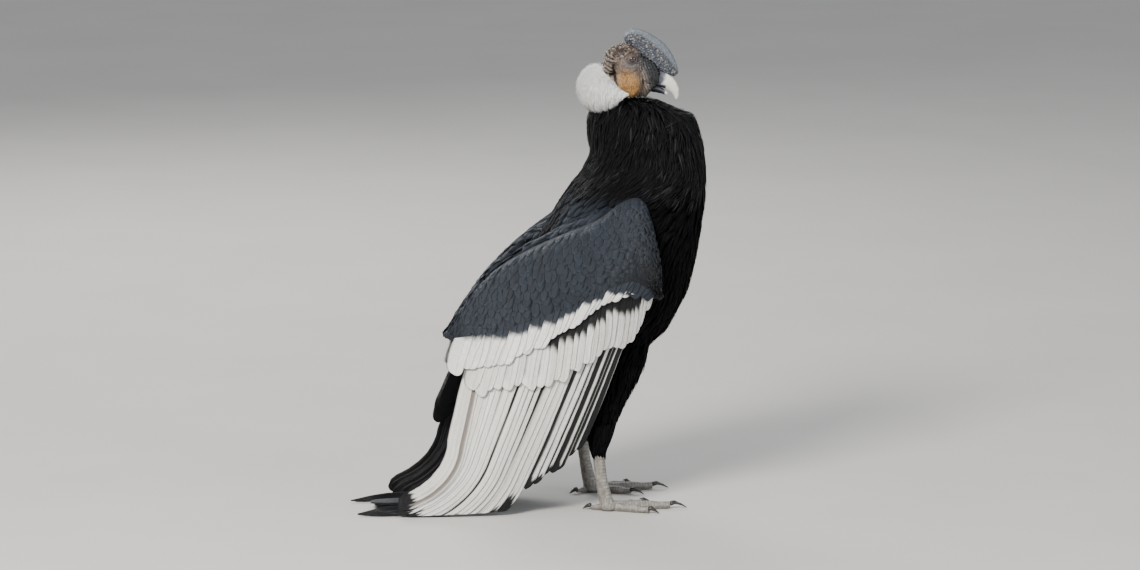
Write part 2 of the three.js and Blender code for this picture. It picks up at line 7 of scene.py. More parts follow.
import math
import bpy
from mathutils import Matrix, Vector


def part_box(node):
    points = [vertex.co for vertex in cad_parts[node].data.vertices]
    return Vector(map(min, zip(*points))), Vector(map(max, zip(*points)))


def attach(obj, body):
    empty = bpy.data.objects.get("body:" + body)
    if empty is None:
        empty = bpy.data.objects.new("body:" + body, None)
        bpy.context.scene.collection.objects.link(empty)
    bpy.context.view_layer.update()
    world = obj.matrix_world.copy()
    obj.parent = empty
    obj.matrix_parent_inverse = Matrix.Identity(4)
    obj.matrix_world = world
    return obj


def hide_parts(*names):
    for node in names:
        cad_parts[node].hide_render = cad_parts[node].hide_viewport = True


bl_info = {
    "name": "Andean Condor Model",
    "version": (1, 0, 0),
    "blender": (4, 5, 0),
    "location": "3D View > Sidebar > Condor",
    "description": "Dresses the condor's solids with skin, feathers, down, horn and scales",
    "category": "Object",
}

import bmesh
import bpy
import numpy as np
from mathutils import Vector, noise
from mathutils.bvhtree import BVHTree

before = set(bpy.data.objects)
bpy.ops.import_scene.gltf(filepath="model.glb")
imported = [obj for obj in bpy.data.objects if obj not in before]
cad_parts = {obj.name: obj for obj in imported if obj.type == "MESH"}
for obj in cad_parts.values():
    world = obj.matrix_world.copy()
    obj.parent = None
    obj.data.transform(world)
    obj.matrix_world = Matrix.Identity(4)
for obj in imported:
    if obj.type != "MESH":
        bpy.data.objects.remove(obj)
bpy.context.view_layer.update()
EYE_LOW, EYE_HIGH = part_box("eye_right")

# Driving sizes, in millimetres of the bird
MM = 0.001
TURN = 2 * math.pi
LEAN = math.radians(32)
CHEST_X, CHEST_Z = 60, 580
BEND_START, BEND_RADIUS = 565, 160
BEND_END_ANGLE = math.radians(80)
FLOOR_CLEAR, FLOOR_REST = 4.6, 0.4
MIDLINE_CLEAR = 1.2
EYE_X, EYE_Y, EYE_Z = 54, 30, 841
EYE_DEEP, EYE_RADIUS = 28, 8.6
LEG_Y = 86
SIDES = {"right": -1, "left": 1}
UP = np.array([0.0, 0.0, 1.0])

# The bird's own origin in the frame, in metres
SHIFT = np.array((EYE_LOW + EYE_HIGH) / 2) - np.array([EYE_X, -EYE_Y, EYE_Z]) * MM

# Colours
WHITE, CREAM, DOWN = (0.9, 0.9, 0.88), (0.68, 0.66, 0.59), (0.95, 0.95, 0.935)
SLATE, SLATE_DARK, SOOT = (0.02, 0.026, 0.036), (0.016, 0.02, 0.028), (0.006, 0.006, 0.007)
NECK_SHEEN_GREY, PRIMARY_GREY, TAIL_GREY = (0.034, 0.035, 0.037), (0.026, 0.028, 0.032), (0.02, 0.021, 0.024)
COVERT_BLACK, WEB_BLACK = (0.004, 0.004, 0.005), (0.008, 0.008, 0.009)
WEB_GREY, SMUDGE, WEB_BROWN_AND_SHADE = (0.2, 0.2, 0.2), (0.16, 0.17, 0.19), (0.13, 0.105, 0.08)
CHEEK, HEAD_BROWN, HEAD_FOLD_SHADE = (0.52, 0.27, 0.08), (0.16, 0.1, 0.075), (0.018, 0.014, 0.013)
HEAD_GREY, HEAD_HIGHLIGHT, EYE_BLUE = (0.27, 0.23, 0.19), (0.42, 0.33, 0.25), (0.16, 0.17, 0.19)
EYE_RING, LORE_PEBBLE, BILL_SKIN = (0.06, 0.04, 0.034), (0.17, 0.16, 0.15), (0.018, 0.02, 0.026)
COMB_DARK, COMB_GREY, COMB_SPECK = (0.03, 0.034, 0.044), (0.1, 0.11, 0.13), (0.36, 0.32, 0.27)
RIM_DARK, RIM_PALE = (0.1, 0.115, 0.135), (0.155, 0.172, 0.19)
BILL_DARK, BILL_GREY, IVORY = (0.02, 0.022, 0.028), (0.08, 0.09, 0.11), (0.78, 0.76, 0.69)
IRIS, IRIS_EDGE, EYE_CORNER = (0.06, 0.02, 0.011), (0.03, 0.011, 0.008), (0.02, 0.012, 0.01)
LID, LID_EDGE, PUPIL = (0.1, 0.068, 0.055), (0.025, 0.016, 0.014), (0.003, 0.003, 0.003)
SCALE, SCALE_PALE, SHANK = (0.2, 0.185, 0.165), (0.34, 0.32, 0.29), (0.12, 0.11, 0.1)
SCALE_SEAM, CLAW, CLAW_DARK = (0.09, 0.08, 0.07), (0.05, 0.045, 0.04), (0.018, 0.016, 0.015)
RUFF_SKIN = (0.8, 0.79, 0.76)


def to_frame(points):
    """Places in the bird's millimetres as places in the frame, in metres."""
    return np.asarray(points, float) * MM + SHIFT


def to_bird(points):
    """Places in the frame, in metres, as places in the bird's millimetres."""
    return (np.asarray(points, float) - SHIFT) / MM


# Small maths


def along(knots, x):
    """Smooth value at x through (place, value) knots, flat past both ends."""
    places, values = np.array(knots, float).T
    last = len(knots) - 1
    rank = np.arange(last + 1)
    before, after = np.maximum(rank - 1, 0), np.minimum(rank + 1, last)
    slopes = (values[after] - values[before]) / (places[after] - places[before])
    q = np.clip(np.asarray(x, float), places[0], places[-1])
    i = np.clip(np.searchsorted(places, q, side="right") - 1, 0, last - 1)
    h = places[i + 1] - places[i]
    t = (q - places[i]) / h
    t2, t3 = t * t, t * t * t
    start = values[i] * (2 * t3 - 3 * t2 + 1) + slopes[i] * h * (t3 - 2 * t2 + t)
    return start + values[i + 1] * (3 * t2 - 2 * t3) + slopes[i + 1] * h * (t3 - t2)


def on_curve(points, t):
    """Place at share t of a smooth plane curve through (a, b) points, as two arrays."""
    shares = np.linspace(0, 1, len(points))
    return tuple(along(list(zip(shares, values)), t) for values in zip(*points))


def clamp(x):
    """x kept between 0 and 1."""
    return np.clip(x, 0, 1)


def step_up(x, low, high):
    """0 below low, 1 above high, and a smooth rise between them."""
    t = clamp((np.asarray(x, float) - low) / (high - low))
    return t * t * (3 - 2 * t)


def hump(x, centre, width):
    """1 at the centre, falling smoothly to 0 on both sides."""
    return np.exp(-(((np.asarray(x, float) - centre) / width) ** 2))


def wave(x, pitch=TURN):
    """A wave between 0 and 1."""
    return 0.5 + 0.5 * np.sin(x / pitch * TURN)


def smooth_max(a, b, soft):
    return (a + b + np.sqrt((a - b) ** 2 + soft * soft)) / 2


def mix(a, b, share):
    """Colours a and b blended by an array of shares."""
    share = np.asarray(share, float)[..., None]
    return np.asarray(a, float) * (1 - share) + np.asarray(b, float) * share


def painted(colour, *layers):
    """A colour with (colour, share) layers laid over it in turn."""
    for over, share in layers:
        colour = mix(colour, over, share)
    return colour


def unit(v):
    return v / np.maximum(np.linalg.norm(v, axis=-1, keepdims=True), 1e-12)


def square_to(v, axes):
    """Directions v turned square to some unit axes."""
    return unit(v - axes * (v * axes).sum(-1, keepdims=True))


def noise_at(points, scale, seed=0.0):
    offset = Vector((seed, seed * 0.7, seed * 1.3))
    return np.array([noise.noise(Vector(p) * scale + offset) for p in points])


def cells(points, size, low, high):
    """0 on the seams between round cells and 1 inside them, rising from low to high shares of the size."""
    found = np.array([noise.voronoi(Vector(p) / size)[0][:2] for p in points])
    return step_up(found[:, 1] - found[:, 0], low, high)


# The lean line and the wing's sheet. s runs down the line from the chest, n is the distance towards the back

SHEET_HALF_WIDTH = [(-60, 140), (0, 163), (80, 177), (170, 180), (260, 173), (360, 162), (460, 148),
                    (560, 130), (660, 114), (830, 100)]
SHEET_CROWN = [(-40, -5), (200, -30), (400, -60), (600, -60), (830, -40)]
SHEET_REACH, SHEET_CURL, SHEET_TURNS = 222, 1.5, (-3, 1.62)
SHEET_STEP = 2.0


def lean_frame(s):
    """Place and angle of the lean line at distance s."""
    s = np.asarray(s, float)
    straight = np.minimum(s, BEND_START)
    arc = np.clip(s - BEND_START, 0, BEND_RADIUS * (BEND_END_ANGLE - LEAN))
    angle = LEAN + arc / BEND_RADIUS
    rest = np.maximum(s - BEND_START, 0) - arc
    bent_x, bent_z = np.cos(angle) - math.cos(LEAN), np.sin(angle) - math.sin(LEAN)
    x = CHEST_X - math.sin(LEAN) * straight + BEND_RADIUS * bent_x - np.sin(angle) * rest
    z = CHEST_Z - math.cos(LEAN) * straight - BEND_RADIUS * bent_z - np.cos(angle) * rest
    return x, z, angle


def lean_point(s, n, y):
    """Place n behind the lean line at distance s and y to its left."""
    x, z, angle = lean_frame(s)
    return np.stack([x - np.cos(angle) * n, y, z + np.sin(angle) * n], -1)


def lean_place(places):
    """Distances s down the lean line and n behind it."""
    dx, dz = places[:, 0] - CHEST_X, places[:, 2] - CHEST_Z
    return -dx * math.sin(LEAN) - dz * math.cos(LEAN), -dx * math.cos(LEAN) + dz * math.sin(LEAN)


def floor_offset(s, height):
    """Distance n at which the line at s has that height above the floor."""
    _, z, angle = lean_frame(s)
    return (height - z) / np.sin(angle)


def sheet_y(s, n):
    """The sheet's distance from the middle, which shrinks as it curls over the back."""
    turned = SHEET_CURL * (n - along(SHEET_CROWN, s)) / SHEET_REACH
    return along(SHEET_HALF_WIDTH, s) * np.cos(np.clip(turned, *SHEET_TURNS))


def sheet_point(s, n, out, side):
    """Place on the folded wing's sheet, `out` millimetres above it, in the bird's millimetres."""
    s, n = np.asarray(s, float), np.asarray(n, float)
    angle = lean_frame(s)[2]
    lifted = np.where(s > BEND_START, smooth_max(n, floor_offset(s, FLOOR_CLEAR), 3), n)
    slope_n = (sheet_y(s, n + SHEET_STEP) - sheet_y(s, n - SHEET_STEP)) / (2 * SHEET_STEP)
    slope_s = (sheet_y(s + SHEET_STEP, n) - sheet_y(s - SHEET_STEP, n)) / (2 * SHEET_STEP)
    length = np.sqrt(1 + slope_n**2 + slope_s**2)
    y = side * np.maximum(sheet_y(s, n) + out / length, MIDLINE_CLEAR)
    down = np.stack([np.sin(angle), 0 * angle, np.cos(angle)], -1)
    return lean_point(s, lifted - slope_n / length * out, y) + (slope_s / length * out)[..., None] * down


# Meshes


def placed(mesh):
    """A new smooth object that shows a mesh and has its name."""
    mesh.shade_smooth()
    obj = bpy.data.objects.new(mesh.name, mesh)
    bpy.context.scene.collection.objects.link(obj)
    return obj


def from_bmesh(name, bm):
    """A new object from a bmesh, which is freed."""
    mesh = bpy.data.meshes.new(name)
    bm.to_mesh(mesh)
    bm.free()
    return placed(mesh)


def from_rings(name, rings, joined):
    """A closed skin through rings of places in the frame, its two ends joined to each other or filled."""
    bm = bmesh.new()
    loops = []
    for ring in rings:
        corners = [bm.verts.new(place) for place in ring]
        loops.append([bm.edges.new(pair) for pair in zip(corners, corners[1:] + corners[:1])])
    for a, b in zip(loops, loops[1:] + loops[:1] * joined):
        bmesh.ops.bridge_loops(bm, edges=a + b)
    if not joined:
        bmesh.ops.holes_fill(bm, edges=loops[0] + loops[-1], sides=0)
    bmesh.ops.recalc_face_normals(bm, faces=bm.faces)
    return from_bmesh(name, bm)


def of_points(obj, what):
    """The places ("co") or normals ("normal") of an object's points."""
    flat = np.empty(len(obj.data.vertices) * 3)
    obj.data.vertices.foreach_get(what, flat)
    return flat.reshape(-1, 3)


def push(obj, distance):
    """Moves each point along its normal by a distance in metres, or by its own one."""
    moved = of_points(obj, "co") + of_points(obj, "normal") * np.reshape(distance, (-1, 1))
    obj.data.vertices.foreach_set("co", moved.astype(np.float32).ravel())
    obj.data.update()


def set_tint(obj, colours):
    """Stores one colour for each point, or the same for all."""
    tint = np.ones((len(obj.data.vertices), 4), np.float32)
    tint[:, :3] = colours
    obj.data.attributes.new("tint", "FLOAT_COLOR", "POINT").data.foreach_set("color", tint.ravel())


def set_uv(obj, name, places):
    """Stores one UV place for each point, on all the face corners that use it."""
    corners = np.empty(len(obj.data.loops), np.int32)
    obj.data.loops.foreach_get("vertex_index", corners)
    layer = obj.data.uv_layers.new(name=name)
    layer.data.foreach_set("uv", np.asarray(places, np.float32)[corners].ravel())


def settle(obj, slot, material, *nodes):
    """Gives a finished piece its material and place on the frame, and hides the solids it replaces; its slot
    is not used.
    """
    obj.data.materials.clear()
    obj.data.materials.append(material)
    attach(obj, "root")
    if nodes:
        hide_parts(*nodes)


def tree_of(obj):
    """Search tree over an object's faces."""
    points = [vertex.co.copy() for vertex in obj.data.vertices]
    return BVHTree.FromPolygons(points, [tuple(face.vertices) for face in obj.data.polygons])


def sculpt(name, nodes, voxel, smooth):
    """One closed skin over some solids, remade in even small faces and softened."""
    bm = bmesh.new()
    for solid in nodes:
        bm.from_mesh(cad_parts[solid].data)
    bmesh.ops.remove_doubles(bm, verts=bm.verts, dist=1e-6)
    skin = from_bmesh(name, bm)
    rough = skin.data
    remesh = skin.modifiers.new("even", "REMESH")
    remesh.mode = "VOXEL"
    remesh.voxel_size = voxel
    soften = skin.modifiers.new("soft", "SMOOTH")
    soften.factor = 0.5
    soften.iterations = smooth
    bpy.context.view_layer.update()
    skin.data = bpy.data.meshes.new_from_object(skin.evaluated_get(bpy.context.evaluated_depsgraph_get()))
    skin.modifiers.clear()
    bpy.data.meshes.remove(rough)
    skin.data.name = name
    skin.data.shade_smooth()
    return skin


def closed_sheet(name, outer, inner, across, down, turned):
    """A thin closed skin between two places for each share (u, v), and a search tree of its outer face."""
    bm = bmesh.new()
    bmesh.ops.create_grid(bm, x_segments=across, y_segments=down, size=0.5)
    u, v = np.array([vert.co.xy for vert in bm.verts]).T + 0.5
    for vert, place in zip(bm.verts, to_frame(outer(u, v))):
        vert.co = place
    if turned:
        bmesh.ops.reverse_faces(bm, faces=bm.faces)
    bm.normal_update()
    tree = BVHTree.FromBMesh(bm)
    copied = bmesh.ops.duplicate(bm, geom=bm.verts[:] + bm.edges[:] + bm.faces[:])["geom"]
    below = [item for item in copied if isinstance(item, bmesh.types.BMVert)]
    for vert, place in zip(below, to_frame(inner(u, v))):
        vert.co = place
    bmesh.ops.reverse_faces(bm, faces=[item for item in copied if isinstance(item, bmesh.types.BMFace)])
    bmesh.ops.bridge_loops(bm, edges=[edge for edge in bm.edges if edge.is_boundary])
    bmesh.ops.recalc_face_normals(bm, faces=bm.faces)
    sheet = from_bmesh(name, bm)
    # A darker slate than the feathers laid on it: painted shade where the sheet shows between and beside
    # them.
    set_tint(sheet, np.array(SLATE) * 0.6)
    return sheet, tree


# Vanes: every feather is a thin closed vane, and a piece joins many of them in one mesh

BAKE_ROOM = 0.003


def vane_section(columns):
    """Places across a vane's closed section, from -1 to 1 and back, and which are on its under side."""
    top = np.linspace(-1, 1, columns)
    c = np.concatenate([top, top[-2:0:-1]])
    return c, np.arange(len(c)) >= columns


def vane_mesh(name, points, t, c, bake, tint):
    """Many closed vanes as one object, from points count x rings x corners x 3, in metres.

    t is each ring's share of the length, bake is each root's place on the skin's unwrap, and tint(t, c) gives
    the colours.
    """
    count, rings, around = points.shape[:3]
    ids = np.arange(count * rings * around).reshape(count, rings, around)
    nxt = np.roll(ids, -1, axis=2)
    quads = np.stack([ids[:, :-1], nxt[:, :-1], nxt[:, 1:], ids[:, 1:]], axis=-1).ravel()
    corners = np.concatenate([quads, ids[:, -1].ravel(), ids[:, 0, ::-1].ravel()]).astype(np.int32)
    ends = len(quads) + np.arange(2 * count) * around
    starts = np.concatenate([np.arange(len(quads) // 4) * 4, ends]).astype(np.int32)
    mesh = bpy.data.meshes.new(name)
    mesh.vertices.add(points.size // 3)
    mesh.vertices.foreach_set("co", points.astype(np.float32).ravel())
    mesh.loops.add(len(corners))
    mesh.loops.foreach_set("vertex_index", corners)
    mesh.polygons.add(len(starts))
    mesh.polygons.foreach_set("loop_start", starts)
    mesh.update(calc_edges=True)
    obj = placed(mesh)
    t = np.broadcast_to(np.asarray(t)[None, :, None], ids.shape)
    c = np.broadcast_to(c, ids.shape)
    spread = np.asarray(bake)[:, None, None] + BAKE_ROOM * np.stack([c / 2, t - 0.5], -1)
    set_uv(obj, "OFBake", spread.reshape(-1, 2))
    set_uv(obj, "vane", np.stack([c / 2 + 0.5, t], -1).reshape(-1, 2))
    set_tint(obj, np.broadcast_to(tint(t, c), (*ids.shape, 3)).reshape(-1, 3))
    return obj


def vane_object(name, centre, up, width, columns, thick, camber, bake, tint):
    """Vanes along middle lines count x rings x 3 in metres, given which way is up and their half widths."""
    t = np.linspace(0, 1, centre.shape[1])
    c, under = vane_section(columns)
    side = unit(np.cross(unit(np.gradient(centre, axis=1)), up))
    half = width[..., None]
    across = side[:, :, None] * (c * half)[..., None]
    height = camber * half * (1 - c**2) - thick * under
    points = centre[:, :, None] + across + up[:, :, None] * height[..., None]
    return vane_mesh(name, points, t, c, bake, tint)


def even(colours):
    """A tint that gives each vane its own colour along its whole length."""
    return lambda t, c: colours[:, None, None] * np.ones_like(t + c)[..., None]


def creep(tree, roots, aims, lengths, shares, heights):
    """Middle lines that leave each root along its aim and keep to the surface, with the surface's normals.

    shares are the rings' shares of the length, and heights are the rings' distances above the surface.
    """
    centre, up = np.empty((2, len(roots), len(shares), 3))
    for i in range(len(roots)):
        place, aim = Vector(roots[i]), Vector(aims[i])
        for k in range(len(shares)):
            if k:
                place = place + aim * (lengths[i] * (shares[k] - shares[k - 1]))
            place, normal, _, _ = tree.find_nearest(place)
            aim = (aim - normal * aim.dot(normal)).normalized()
            centre[i, k] = place + normal * heights[i, k]
            up[i, k] = normal
    return centre, up


def scatter(obj, gap, keep, seed):
    """Places and normals spread over an object's surface, no closer than a gap in metres."""
    rng = np.random.default_rng(seed)
    mesh = obj.data
    mesh.calc_loop_triangles()
    tris = np.empty(len(mesh.loop_triangles) * 3, np.int32)
    mesh.loop_triangles.foreach_get("vertices", tris)
    a, b, c = of_points(obj, "co")[tris.reshape(-1, 3).T]
    cross = np.cross(b - a, c - a)
    area = np.linalg.norm(cross, axis=1) / 2 * keep(to_bird((a + b + c) / 3), unit(cross))
    tries = int(3.2 * area.sum() / gap**2)
    picks = rng.choice(len(area), tries, p=area / area.sum())
    u, v = rng.random((2, tries))
    flip = u + v > 1
    u, v = np.where(flip, 1 - u, u), np.where(flip, 1 - v, v)
    spots = a[picks] + (b - a)[picks] * u[:, None] + (c - a)[picks] * v[:, None]
    grid, chosen = {}, []
    for i, (x, y, z) in enumerate(np.floor(spots / gap).astype(int)):
        near = [j for kx in (x - 1, x, x + 1) for ky in (y - 1, y, y + 1) for kz in (z - 1, z, z + 1)
                for j in grid.get((kx, ky, kz), ())]
        if near and np.min(((spots[near] - spots[i]) ** 2).sum(1)) < gap**2:
            continue
        grid.setdefault((x, y, z), []).append(i)
        chosen.append(i)
    return spots[chosen], unit(cross[picks[chosen]])


# Materials

BARB_SLANT, BARB_DEPTH, SHAFT_HALF = -0.9, 0.0004, 0.022


def feed(material, made, inputs):
    """Sets a node's inputs, each to a value or to the socket that feeds it, and returns the node."""
    for key, value in inputs.items():
        if isinstance(value, bpy.types.NodeSocket):
            material.node_tree.links.new(value, made.inputs[key])
        else:
            made.inputs[key].default_value = value
    return made


def node(material, kind, inputs, **settings):
    """A new shader node with its inputs and settings."""
    made = material.node_tree.nodes.new(kind)
    for key, value in settings.items():
        setattr(made, key, value)
    return feed(material, made, inputs)


def sum_of(material, operation, *values):
    """The result of a Math node."""
    return node(material, "ShaderNodeMath", dict(enumerate(values)), operation=operation).outputs[0]


def object_noise(material, scale, detail=3.0):
    place = node(material, "ShaderNodeTexCoord", {}).outputs["Object"]
    inputs = {"Scale": scale, "Detail": detail, "Vector": place}
    return node(material, "ShaderNodeTexNoise", inputs).outputs["Fac"]


def new_material(name, roughness, specular=0.5, sheen=0.0, coat=0.0):
    material = bpy.data.materials.new(name)
    material.use_nodes = True
    shader = feed(material, material.node_tree.nodes["Principled BSDF"], {
        "Roughness": roughness,
        "Specular IOR Level": specular,
        "Sheen Weight": sheen,
        "Sheen Roughness": 0.4,
        "Sheen Tint": (0.62, 0.72, 0.9, 1),
        "Coat Weight": coat,
        "Coat Roughness": 0.08,
    })
    return material, shader


def finish_shader(material, shader, factor, height, depth):
    """Gives a shader the piece's own tint times a factor, and a bump of some depth in metres."""
    tint = node(material, "ShaderNodeAttribute", {}, attribute_name="tint").outputs["Color"]
    scaled = node(material, "ShaderNodeVectorMath", {0: tint, "Scale": factor}, operation="SCALE")
    bump = node(material, "ShaderNodeBump", {"Strength": 0.6, "Distance": depth, "Height": height})
    feed(material, shader, {"Base Color": scaled.outputs[0], "Normal": bump.outputs[0]})
    return material


def feather_material(name, roughness, specular, barbs, sheen, shaft, contrast=0.25):
    """Feather: fine slanting barbs in colour and bump, and a line along the shaft."""
    material, shader = new_material(name, roughness, specular, sheen)
    uv = node(material, "ShaderNodeUVMap", {}, uv_map="vane").outputs[0]
    across, length, _ = node(material, "ShaderNodeSeparateXYZ", {0: uv}).outputs
    off = sum_of(material, "ABSOLUTE", sum_of(material, "SUBTRACT", across, 0.5))
    slant = sum_of(material, "MULTIPLY_ADD", off, BARB_SLANT, length)
    drift = sum_of(material, "MULTIPLY_ADD", object_noise(material, 60.0), 0.1, slant)
    barbed = sum_of(material, "SINE", sum_of(material, "MULTIPLY", drift, barbs))
    ridge = sum_of(material, "MULTIPLY_ADD", barbed, 0.5, 0.5)
    patch = object_noise(material, 220.0)
    patch = sum_of(material, "MULTIPLY_ADD", patch, contrast * 1.4, 1 - contrast * 0.7)
    shade = sum_of(material, "MULTIPLY_ADD", ridge, contrast * 0.5, 1 - contrast * 0.25)
    on_shaft = sum_of(material, "LESS_THAN", off, SHAFT_HALF)
    line = sum_of(material, "MULTIPLY_ADD", on_shaft, shaft - 1, 1.0)
    factor = sum_of(material, "MULTIPLY", sum_of(material, "MULTIPLY", shade, patch), line)
    return finish_shader(material, shader, factor, ridge, BARB_DEPTH)


def skin_material(name, roughness, grain, depth, specular=0.4, coat=0.0, contrast=0.3):
    """Bare skin, flesh or horn: its tint with a fine grain in colour and bump."""
    material, shader = new_material(name, roughness, specular, coat=coat)
    fine = object_noise(material, grain, 6.0)
    factor = sum_of(material, "MULTIPLY_ADD", fine, 2 * contrast, 1 - contrast)
    return finish_shader(material, shader, factor, fine, depth)


def floor_material():
    material, shader = new_material("studio_floor", 0.8, 0.2)
    ramp = node(material, "ShaderNodeValToRGB", {0: object_noise(material, 3.0, 4.0)})
    ramp.color_ramp.elements[0].color = (0.55, 0.53, 0.5, 1)
    ramp.color_ramp.elements[1].color = (0.62, 0.6, 0.57, 1)
    feed(material, shader, {"Base Color": ramp.outputs[0]})
    return material


# Feather outlines: half width against the share of the length

CONTOUR = [(0, 0.35), (0.3, 0.85), (0.6, 1), (0.85, 0.8), (0.95, 0.5), (1, 0.12)]
HACKLE = [(0, 0.5), (0.25, 0.95), (0.5, 1), (0.75, 0.72), (0.92, 0.32), (1, 0.04)]
ROUND_TIP = [(0, 0.5), (0.25, 0.85), (0.55, 1), (0.85, 0.96), (0.94, 0.8), (0.98, 0.52), (0.995, 0.25),
             (1, 0.06)]
BLUNT_TIP = [(0, 0.5), (0.25, 0.85), (0.55, 1), (0.93, 0.95), (0.972, 0.78), (0.992, 0.42), (1, 0.06)]
NARROW_TIP = [(0, 0.7), (0.4, 1), (0.75, 0.85), (0.92, 0.55), (1, 0.08)]
TUFT = [(0, 1), (0.6, 0.8), (1, 0.1)]
BODY_RINGS = np.array([0, 0.28, 0.55, 0.78, 0.92, 1])
BODY_RISE = np.power(BODY_RINGS, 0.6)

# The body's middle line, as (z, x), from the tail up
BODY_LINE = [(168, -222), (232, -172), (318, -90), (412, 2), (512, 50), (600, 82), (670, 88), (712, 75),
             (767, 76)]
NECK_Z, THIGH_Z, THIGH_Y = 612, 320, 34
COAT_DEPTH = 9
CONTOUR_THICK, CONTOUR_CAMBER, ROOT_SINK = 0.0005, 0.16, 0.001
FLOW_SPREAD = 0.12

# The wing pad's edges on the sheet, as (s, n)
PAD_UPPER = [(124, -106), (88, -90), (48, -60), (8, -18), (-14, 20), (12, 50), (66, 74), (130, 114),
             (192, 146), (256, 168), (330, 174), (396, 166)]
PAD_LOWER = [(130, -100), (131, -80), (136, -46), (176, -15), (216, 7), (252, 30), (306, 68), (350, 98),
             (380, 128), (400, 158)]
PAD_BULGE, PAD_ROWS, PAD_SINK, PAD_THICK = 9, 18, 4, 8
COVERT_THICK, COVERT_CAMBER = 0.0003, 0.03


def body_flow(places):
    """The way the coat lies: down the body's line, swept back on the neck, down on the thighs."""
    x, y, z = places.T
    step = 4.0
    lean = (along(BODY_LINE, z + step) - along(BODY_LINE, z - step)) / (2 * step)
    swept = step_up(np.abs(y), 12, 62) * (1.5 * hump(z, 610, 62) + 0.3 * hump(z, 700, 50))
    flow = np.stack([-lean - swept, 0 * x, -np.ones_like(z)], -1)
    thigh = step_up(np.abs(y), 30, 60) * (1 - step_up(z, 300, 350)) * step_up(x, -70, -20)
    return unit(mix(flow, (-0.3, 0, -1), thigh))


def skin_unwrap(places):
    """Each place on a round unwrap of the body about its own middle line."""
    x, y, z = places.T
    turn = np.arctan2(y, x - along(BODY_LINE, z)) / TURN + 0.5
    return np.stack([turn, clamp(z / 900)], -1)


def under_wing(places, margin=22):
    """True where the folded wing covers the body."""
    s, n = lean_place(places)
    below_edge = s - along([(n_edge, s_edge) for s_edge, n_edge in PAD_UPPER[:-1]], n)
    return (below_edge > margin) & (n > -84 + 0.12 * s) & (n < 165) & (np.abs(places[:, 1]) > 20)


# The mantle closes the hollow of the back between the two wings' upper edges
MANTLE_TOP = [(40, 76), (100, 98), (140, 112), (192, 131), (256, 149), (330, 158), (392, 158)]
MANTLE_EDGE_DROP, MANTLE_SINK, MANTLE_THICK = 34, 8, 10


def mantle_places(u, v, drop):
    """Place at share u across the back, right to left, and v down it, sunk by `drop` millimetres."""
    edge_s, edge_n = on_curve(PAD_UPPER, 0.5 + 0.48 * v)
    edge, w = edge_n - MANTLE_EDGE_DROP, 2 * u - 1
    ridge, furrow = 12 * step_up(v, 0.2, 0.45), 30 * hump(w, 0, 0.3) * step_up(v, 0.05, 0.3)
    n = edge + (along(MANTLE_TOP, edge_s) - edge + ridge) * (1 - np.abs(w) ** 5) - furrow - drop
    return lean_point(edge_s, n, w * (sheet_y(edge_s, edge_n) - 6))


def back_share(places):
    """How far a place lies from the back's middle, as a share of the way to the wing's upper edge."""
    edge = [(s_edge, sheet_y(s_edge, n_edge)) for s_edge, n_edge in PAD_UPPER[4:]]
    return np.abs(places[:, 1]) / along(edge, lean_place(places)[0])


def lay_coat(name, skin, tree, region, gap, length, half, outline, lift, tint, seed):
    """A coat of contour feathers over one region of the skin."""
    rng = np.random.default_rng(seed)
    roots, normals = scatter(skin, gap, region, seed)
    places = to_bird(roots)
    flow = body_flow(places)
    aims = square_to(flow + rng.normal(0, FLOW_SPREAD, flow.shape), normals)
    long = length * MM * rng.uniform(0.88, 1.12, len(roots))
    wide = half * MM * rng.uniform(0.9, 1.1, (len(roots), 1))
    rise = lift * MM * rng.uniform(0.9, 1.12, (len(roots), 1))
    heights = (rise + ROOT_SINK) * BODY_RISE - ROOT_SINK
    centre, up = creep(tree, roots, aims, long, BODY_RINGS, heights)
    colours = tint(places, rng)
    # Each feather is darker towards its root: painted shade under the feathers that overlie it.
    return vane_object(name, centre, up, wide * along(outline, BODY_RINGS), 3, CONTOUR_THICK, CONTOUR_CAMBER,
                       skin_unwrap(places), lambda t, c: even(colours)(t, c) * (0.75 + 0.25 * t[..., None]))


# The thigh's end: its middle line and its coat's radius, both against the height
THIGH_END_X = [(98, -17), (115, -19), (132, -16.5), (150, -14), (165, -11), (180, -7)]
THIGH_END_RADIUS = [(98, 11.5), (108, 13), (118, 16), (132, 20), (150, 24.5), (165, 28)]
GARTER_TUFTS = 300


def garter_object(name, side, black):
    """Loose feathers round the thigh's end that hang over the top of the shank."""
    rng = np.random.default_rng(60 + side)
    column = (GARTER_TUFTS, 1)
    turn = rng.uniform(0, TURN, column)
    t = np.linspace(0, 1, 7)
    z = rng.uniform(136, 168, column) - rng.uniform(34, 44, column) * t
    radius = along(THIGH_END_RADIUS, z) - 3 * (1 - t) ** 2 + rng.uniform(-0.5, 1.5, column) * t
    away = np.stack([np.cos(turn) + 0 * t, 0.84 * np.sin(turn) + 0 * t, 0 * z], -1)
    middle = np.stack([along(THIGH_END_X, z), np.full_like(z, side * LEG_Y), z], -1)
    centre = middle + away * radius[..., None]
    up = square_to(unit(away), unit(np.gradient(centre, axis=1)))
    width = 3.4 * MM * along(HACKLE, t) * rng.uniform(0.85, 1.15, column)
    colours = black * rng.uniform(0.6, 1.3, column)
    return vane_object(name, to_frame(centre), up, width, 3, CONTOUR_THICK, CONTOUR_CAMBER,
                       skin_unwrap(centre[:, 0]), even(colours))


# Wing rows, foremost feather first: the curves of their roots and tips on the sheet, the feathers' half width
# and its share in front of the shaft, how far their lengths vary, their depth under the sheet and their tilt

